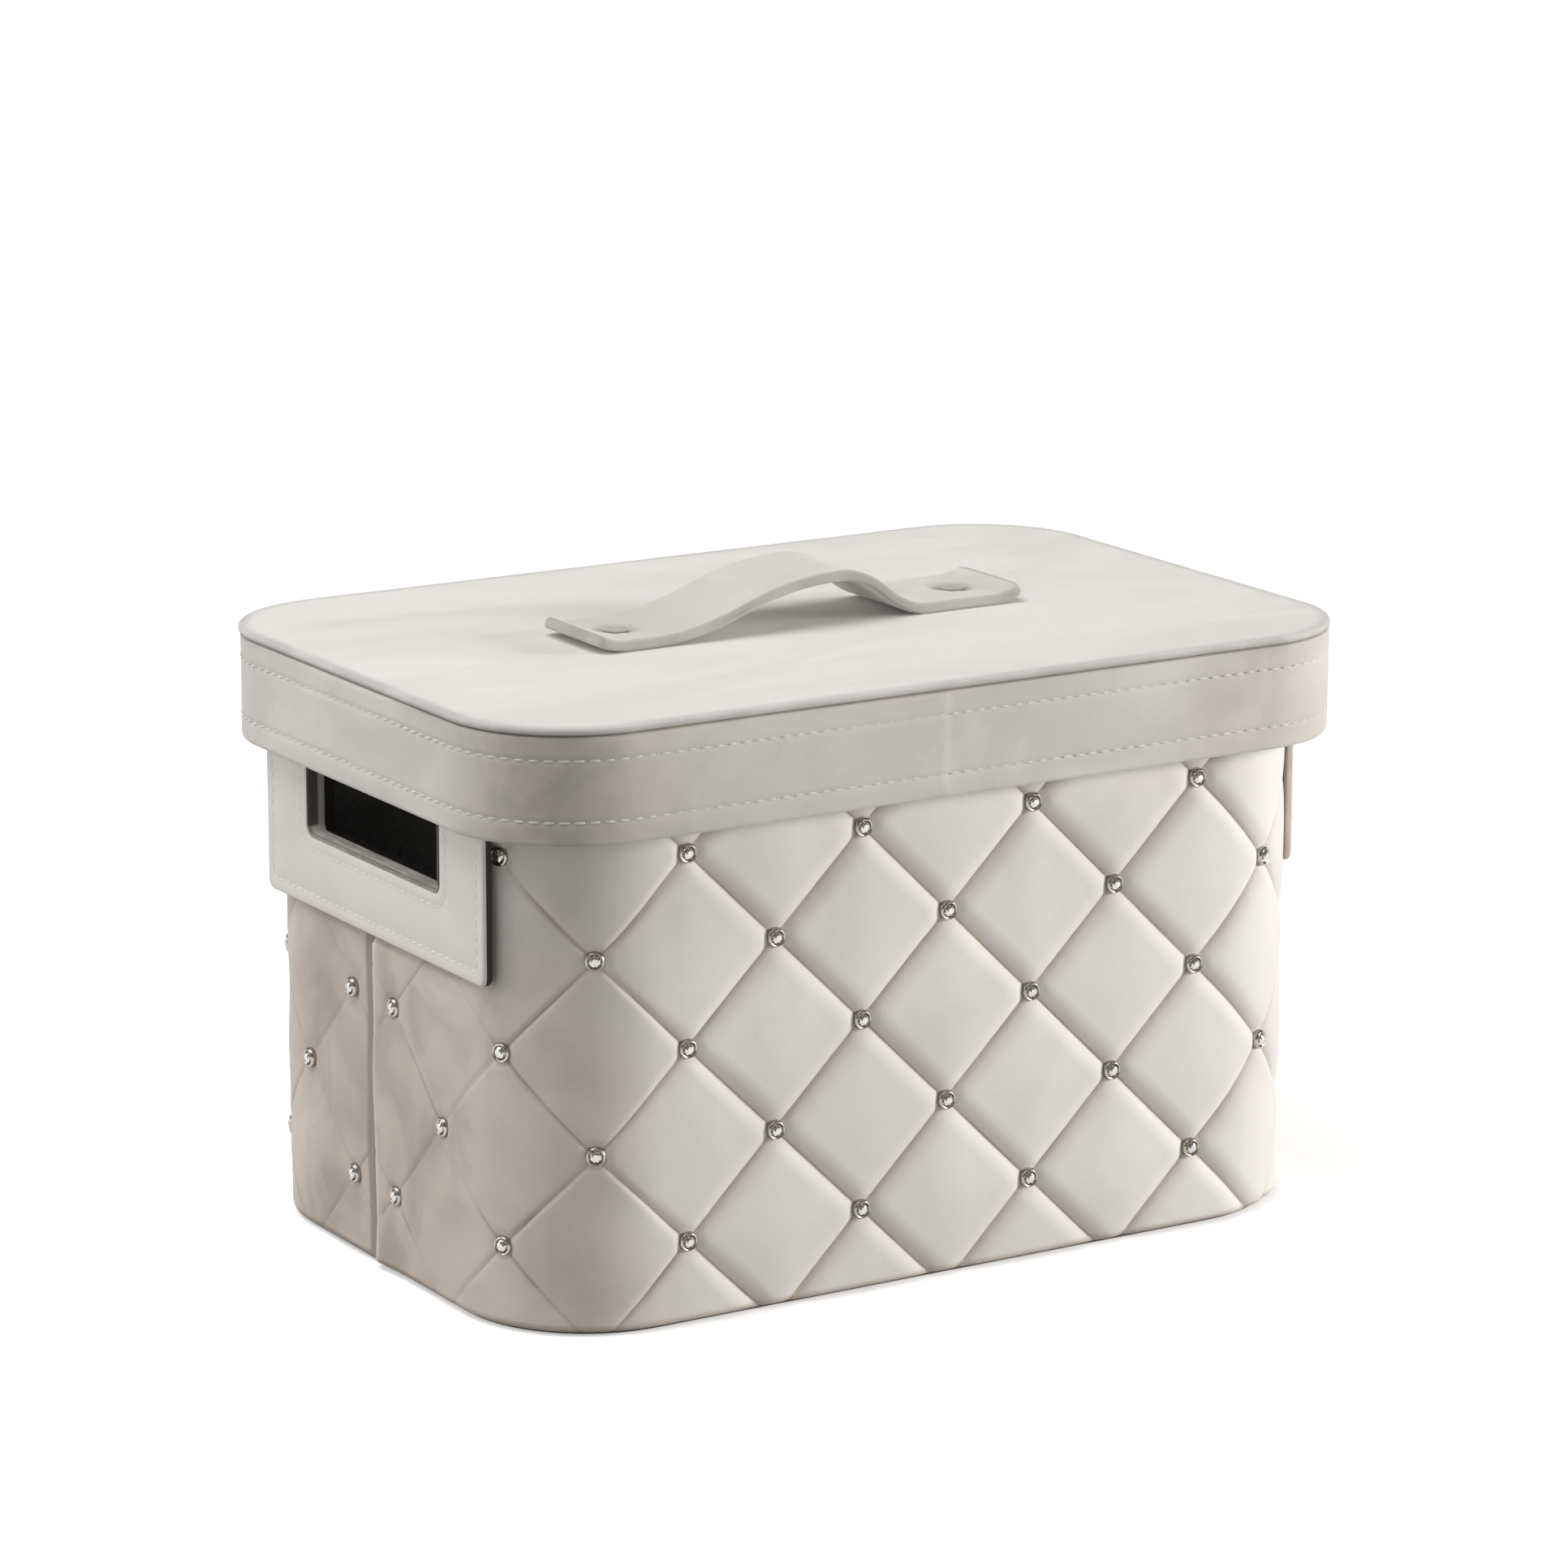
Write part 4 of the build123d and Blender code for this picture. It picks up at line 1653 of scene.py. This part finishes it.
    def panel(self) -> Shell:
        """The top panel: a rolled edge, then rays that run in to the middle line, with a slight unevenness.

        Returns:
            The closed plate.
        """
        edge, normal = self.outline.at(self.outline.even(self.stations))
        reach = (self.outline.length - self.outline.depth) / 2
        spine = np.column_stack([np.clip(edge[:, 0], -reach, reach), np.zeros(self.stations)])
        low, high = self.panel_bottom, self.panel_top
        rim = [(inward, low + up) for inward, up in self.panel_rim]
        rim += [(self.panel_edge, high), (self.panel_inset, high)]
        rows = [np.insert(spine, 2, low, axis=1)]
        rows += [np.insert(edge - normal * inward, 2, height, axis=1) for inward, height in rim]
        shoulder = edge - normal * self.panel_inset
        for share in np.linspace(0.0, 1.0, self.panel_rays + 1)[1:]:
            flat = shoulder + (spine - shoulder) * share
            uneven = self.uneven * self.panel_waves.at(flat[:, 0], flat[:, 1])
            rows.append(np.column_stack([flat, high + uneven * rise(share, (0.0, 0.2))]))
        shell = Shell.grid(np.stack(rows), wrap_columns=True)
        nap = np.zeros(len(rows))
        # Painted shade on the rolled rim, its side and underside
        nap[1:len(rim)] = self.panel_edge_shade
        shell.nap = np.repeat(nap, self.stations)
        return shell

    def stitches(self) -> Shell:
        """Stitches round the skirt, at even steps.

        Returns:
            Both rows as one shell.
        """
        count = round(self.outline.round_trip / self.pitch)
        points, normals = self.outline.at(self.outline.even(count))
        outward = np.insert(normals, 2, 0.0, axis=1)
        along = np.column_stack([-normals[:, 1], normals[:, 0], np.zeros(count)])
        flat = points - normals * (self.leather + self.thread_sink)
        return Shell.merged([
            self.stitch.row(np.insert(flat, 2, height, axis=1), along, outward)
            for height in (self.upper_row, self.lower_row)
        ])

    def dress(self) -> None:
        """Make the skirt's leather, its stitches and the top panel."""
        body = Body.LID
        make_piece("skirt_leather", self.skirt(), body, SKIRT_SUEDE, ["lid_skirt_cover"], 60.0)
        make_piece("skirt_stitches", self.stitches(), body, PALE_THREAD)
        make_piece("top_panel", self.panel(), body, LID_SUEDE, ["lid_panel"], 60.0)


@dataclass(frozen=True)
class Strap:
    """Flat strap handle: pressed feet with a dimple at each rivet, an arch, and tips that flare up."""

    length: float = 172.0
    width: float = 40.0
    thick: float = 4.0
    edge_round: float = 1.5
    plan_corner: float = 3.5
    seat: float = 208.0
    left_foot: float = -66.0
    crest: float = 10.0
    right_foot: float = 46.0
    arch_rise: float = 15.0
    flare: float = 13.0
    flare_rise: float = 3.2
    tip_thinning: float = 0.25
    tip_roll: float = 0.9
    tip_shade: Span = (0.3, 1.6)
    edge_shade: Span = (0.2, 1.6)
    rivet_inset: float = 18.0
    dimple: float = 1.5
    dimple_span: Span = (4.6, 10.0)
    dimple_shade: Span = (4.0, 10.0)
    uneven: float = 0.12
    waves: Waves = Waves((23.0, 37.0, 52.0), 3)
    crowding: float = 0.15
    stations: int = 173
    segments: int = 12

    def underside(self, along: Array) -> Array:
        """Height of the underside: two parabolas up to the crest, a flat foot and an arc at the tip.

        Args:
            along: Places along the strap laid flat.

        Returns:
            Heights over the seat.
        """
        span = np.where(along < self.crest, self.crest - self.left_foot, self.right_foot - self.crest)
        share = np.clip(1.0 - np.abs(along - self.crest) / span, 0.0, 1.0)
        arch = self.arch_rise * np.where(share < 0.5, 2 * share**2, 1.0 - 2 * (1.0 - share) ** 2)
        tip_radius = (self.flare**2 + self.flare_rise**2) / (2 * self.flare_rise)
        past = np.clip(np.abs(along) - self.length / 2 + self.flare, 0.0, self.flare)
        return arch + tip_radius - np.sqrt(tip_radius**2 - past**2)

    def shell(self) -> Shell:
        """A rounded section carried along the arch, its corners rounded in plan, both ends capped.

        Its stations crowd a little towards the tips. It carries painted shade along the rounded cut edges,
        on the tips and in the rivets' dimples.

        Returns:
            The closed strap.
        """
        half = self.length / 2
        share = np.linspace(-1.0, 1.0, self.stations)
        along = half * (self.crowding * np.sin(share * RIGHT_ANGLE) + (1.0 - self.crowding) * share)
        height = self.underside(along)
        slope = np.gradient(height, along)
        level = np.stack([-slope, np.ones_like(slope)], axis=-1) / np.hypot(slope, 1.0)[:, None]
        section = loop(self.width, self.thick, self.edge_round, self.segments)
        upper = section[None, :, 1] > 0
        end = np.clip(half - np.abs(along), 0.0, None)[:, None]
        corner = self.plan_corner
        narrow = corner - np.sqrt(corner**2 - np.clip(corner - end, 0.0, corner) ** 2)
        y = section[None, :, 0] * (1.0 - narrow / (self.width / 2))
        away = np.hypot(np.abs(along)[:, None] - half + self.rivet_inset, y)
        slim = 1.0 - self.tip_thinning * (1.0 - quarter_round(end, self.tip_roll))
        w = section[None, :, 1] * slim + self.thick / 2
        w += self.uneven * self.waves.at(along[:, None], y) * upper
        w -= self.dimple * fall(away, self.dimple_span) * upper
        x = along[:, None] + level[:, :1] * w
        z = self.seat + height[:, None] + level[:, 1:] * w
        shell = Shell.grid(np.stack([x, y, z], axis=-1), wrap_columns=True)
        ring = np.arange(len(section))
        last = (self.stations - 1) * len(section)
        # Painted shade on the rounded cut edges, on the tips and in the rivets' dimples
        edge = fall(self.width / 2 - np.abs(section[None, :, 0]), self.edge_shade)
        nap = np.maximum(edge, fall(end, self.tip_shade))
        nap = np.maximum(nap, upper * fall(away, self.dimple_shade))
        return Shell(shell.points, [*shell.faces, ring[None], (ring + last)[None, ::-1]], nap.ravel())

    def dress(self) -> None:
        """Make the strap."""
        make_piece("arched_strap", self.shell(), Body.LID, STRAP_SUEDE, ["strap_handle"], 55.0)


LAMP_WHITE = (1.0, 0.985, 0.965)


@dataclass(frozen=True)
class Lamp:
    """Square soft light, in metres and watts, that hangs at a place and points at another."""

    name: str
    place: Triple
    size: float
    power: float
    target: Triple = (0.0, 0.0, 0.1)
    steep: float = 0.9

    def hang(self) -> None:
        """Make the light, its back along the line from its target."""
        data = bpy.data.lights.new(self.name, "AREA")
        data.size, data.energy, data.color = self.size, self.power, LAMP_WHITE
        away = np.array(self.place) - np.array(self.target)
        away /= np.linalg.norm(away)
        across = np.cross([0.0, 1.0, 0.0] if abs(away[2]) > self.steep else [0.0, 0.0, 1.0], away)
        across /= np.linalg.norm(across)
        lamp = bpy.data.objects.new(self.name, data)
        lamp.matrix_world = placed([across, np.cross(away, across), away], self.place)
        bpy.context.scene.collection.objects.link(lamp)


LAMPS = (
    Lamp("right_softbox", (1.41, -0.93, 0.45), 0.6, 22.6),
    Lamp("top_softbox", (-0.6, 0.1, 1.8), 1.4, 22.0),
    Lamp("left_softbox", (-1.5, 0.9, 0.7), 1.0, 8.2),
)


@dataclass(frozen=True)
class Studio:
    """Pale floor, soft lights and the photograph's camera.

    The camera's angles are in degrees and its offsets in millimetres. The spans of the walls are
    heights of a way of looking, from -1 straight down to 1 straight up, and the glow's is in metres.
    """

    azimuth: float = -31.627
    elevation: float = 13.642
    roll: float = 0.12
    right: float = 0.249
    up: float = -144.909
    distance: float = 2080.673
    focal: float = 7266.138
    frame_pixels: float = 1932.0
    sensor: float = 36.0
    clip: Span = (0.05, 200.0)
    fill: float = 0.2
    fill_span: Span = (0.0, 0.13)
    horizon: float = 1.6
    bounce: float = 0.32
    bounce_span: Span = (-0.06, -0.01)
    floor_side: float = 40000.0
    floor_cloud: float = 900.0
    floor_tones: Pair = (0.93, 0.95)
    glow: Span = (0.38, 1.0)
    glow_span: Span = (0.6, 2.6)
    lamps: tuple[Lamp, ...] = LAMPS

    def camera(self) -> None:
        """Camera from its fitted bearing, roll, offset and distance."""
        a, e, r = (math.radians(angle) for angle in (self.azimuth, self.elevation, self.roll))
        back = np.array([math.sin(a) * math.cos(e), -math.cos(a) * math.cos(e), math.sin(e)])
        level = np.array([math.cos(a), math.sin(a), 0.0])
        upright = np.cross(back, level)
        across = level * math.cos(r) + upright * math.sin(r)
        upright = upright * math.cos(r) - level * math.sin(r)
        data = bpy.data.cameras.new("camera")
        data.sensor_width = self.sensor
        data.lens = self.focal / self.frame_pixels * self.sensor
        data.clip_start, data.clip_end = self.clip
        place = (self.distance * back - self.right * across - self.up * upright) * MM
        camera = bpy.data.objects.new("camera", data)
        camera.matrix_world = placed([across, upright, back], place)
        bpy.context.scene.collection.objects.link(camera)
        bpy.context.scene.camera = camera

    def floor(self) -> None:
        """Wide pale floor, lit through from below, that grows brighter towards the walls of the studio.

        The object gets the floor's light from the walls' lower half instead, evenly.
        """
        side = self.floor_side * MM
        corners = [(-side, -side, 0.0), (side, -side, 0.0), (side, side, 0.0), (-side, side, 0.0)]
        mesh = bpy.data.meshes.new("floor")
        mesh.from_pydata(corners, [], [(0, 1, 2, 3)])
        recipe = Recipe("pale_floor")
        clouds = recipe.spread(recipe.noise(self.floor_cloud))
        reach = recipe.add("ShaderNodeVectorMath", {"Vector": recipe.place}, "LENGTH").outputs["Value"]
        mesh.materials.append(recipe.finish({
            "Base Color": recipe.blend(clouds, *(shade(PURE_WHITE, tone) for tone in self.floor_tones)),
            "Roughness": 0.9,
            "Specular IOR Level": 0.1,
            "Emission Color": PURE_WHITE,
            "Emission Strength": recipe.spread(reach, self.glow_span, self.glow),
        }))
        floor = bpy.data.objects.new("floor", mesh)
        floor.visible_diffuse = False
        bpy.context.scene.collection.objects.link(floor)

    def walls(self) -> None:
        """Soft fill from all round: bright walls along the horizon, dimmer above and below it."""
        world = bpy.data.worlds.new("studio")
        world.use_nodes = True
        nodes, links = world.node_tree.nodes, world.node_tree.links
        way = nodes.new("ShaderNodeSeparateXYZ")
        links.new(nodes.new("ShaderNodeTexCoord").outputs["Generated"], way.inputs["Vector"])
        total = nodes.new("ShaderNodeMath")
        below = (*self.bounce_span, self.bounce - self.horizon, 0.0)
        above = (*self.fill_span, self.horizon, self.fill)
        for index, half in enumerate((below, above)):
            fade = nodes.new("ShaderNodeMapRange")
            fade.interpolation_type = "SMOOTHSTEP"
            for name, value in zip(("From Min", "From Max", "To Min", "To Max"), half):
                fade.inputs[name].default_value = value
            links.new(way.outputs["Z"], fade.inputs["Value"])
            links.new(fade.outputs["Result"], total.inputs[index])
        sky = nodes["Background"]
        sky.inputs["Color"].default_value = (*LAMP_WHITE, 1.0)
        links.new(total.outputs["Value"], sky.inputs["Strength"])
        bpy.context.scene.world = world

    def dress(self) -> None:
        """Set up the camera, the floor, the lights and the studio's walls."""
        self.camera()
        self.floor()
        for lamp in self.lamps:
            lamp.hang()
        self.walls()
        bpy.context.scene.view_settings.view_transform = "Standard"


def dress_nodes() -> None:
    """Give each CAD node that stays in view its finish."""
    for finish, names in NODE_FINISHES.items():
        for name in names:
            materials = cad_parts[name].data.materials
            materials.clear()
            materials.append(finish.material())
            log.info("%s: CAD node in %s", name, finish.name)


def main() -> None:
    """Build the box piece by piece, and the studio round it."""
    logging.basicConfig(level=logging.INFO, format="%(name)s %(message)s")
    dress_nodes()
    pieces = [
        QuiltCover(Facing.FRONT, 67.3),
        QuiltCover(Facing.BACK, 64.4),
        SidePanel(Hand.LEFT),
        SidePanel(Hand.RIGHT),
        Rim(),
        Lid(),
        Strap(),
        Studio(),
    ]
    for piece in pieces:
        piece.dress()


if __name__ == "__main__":
    main()
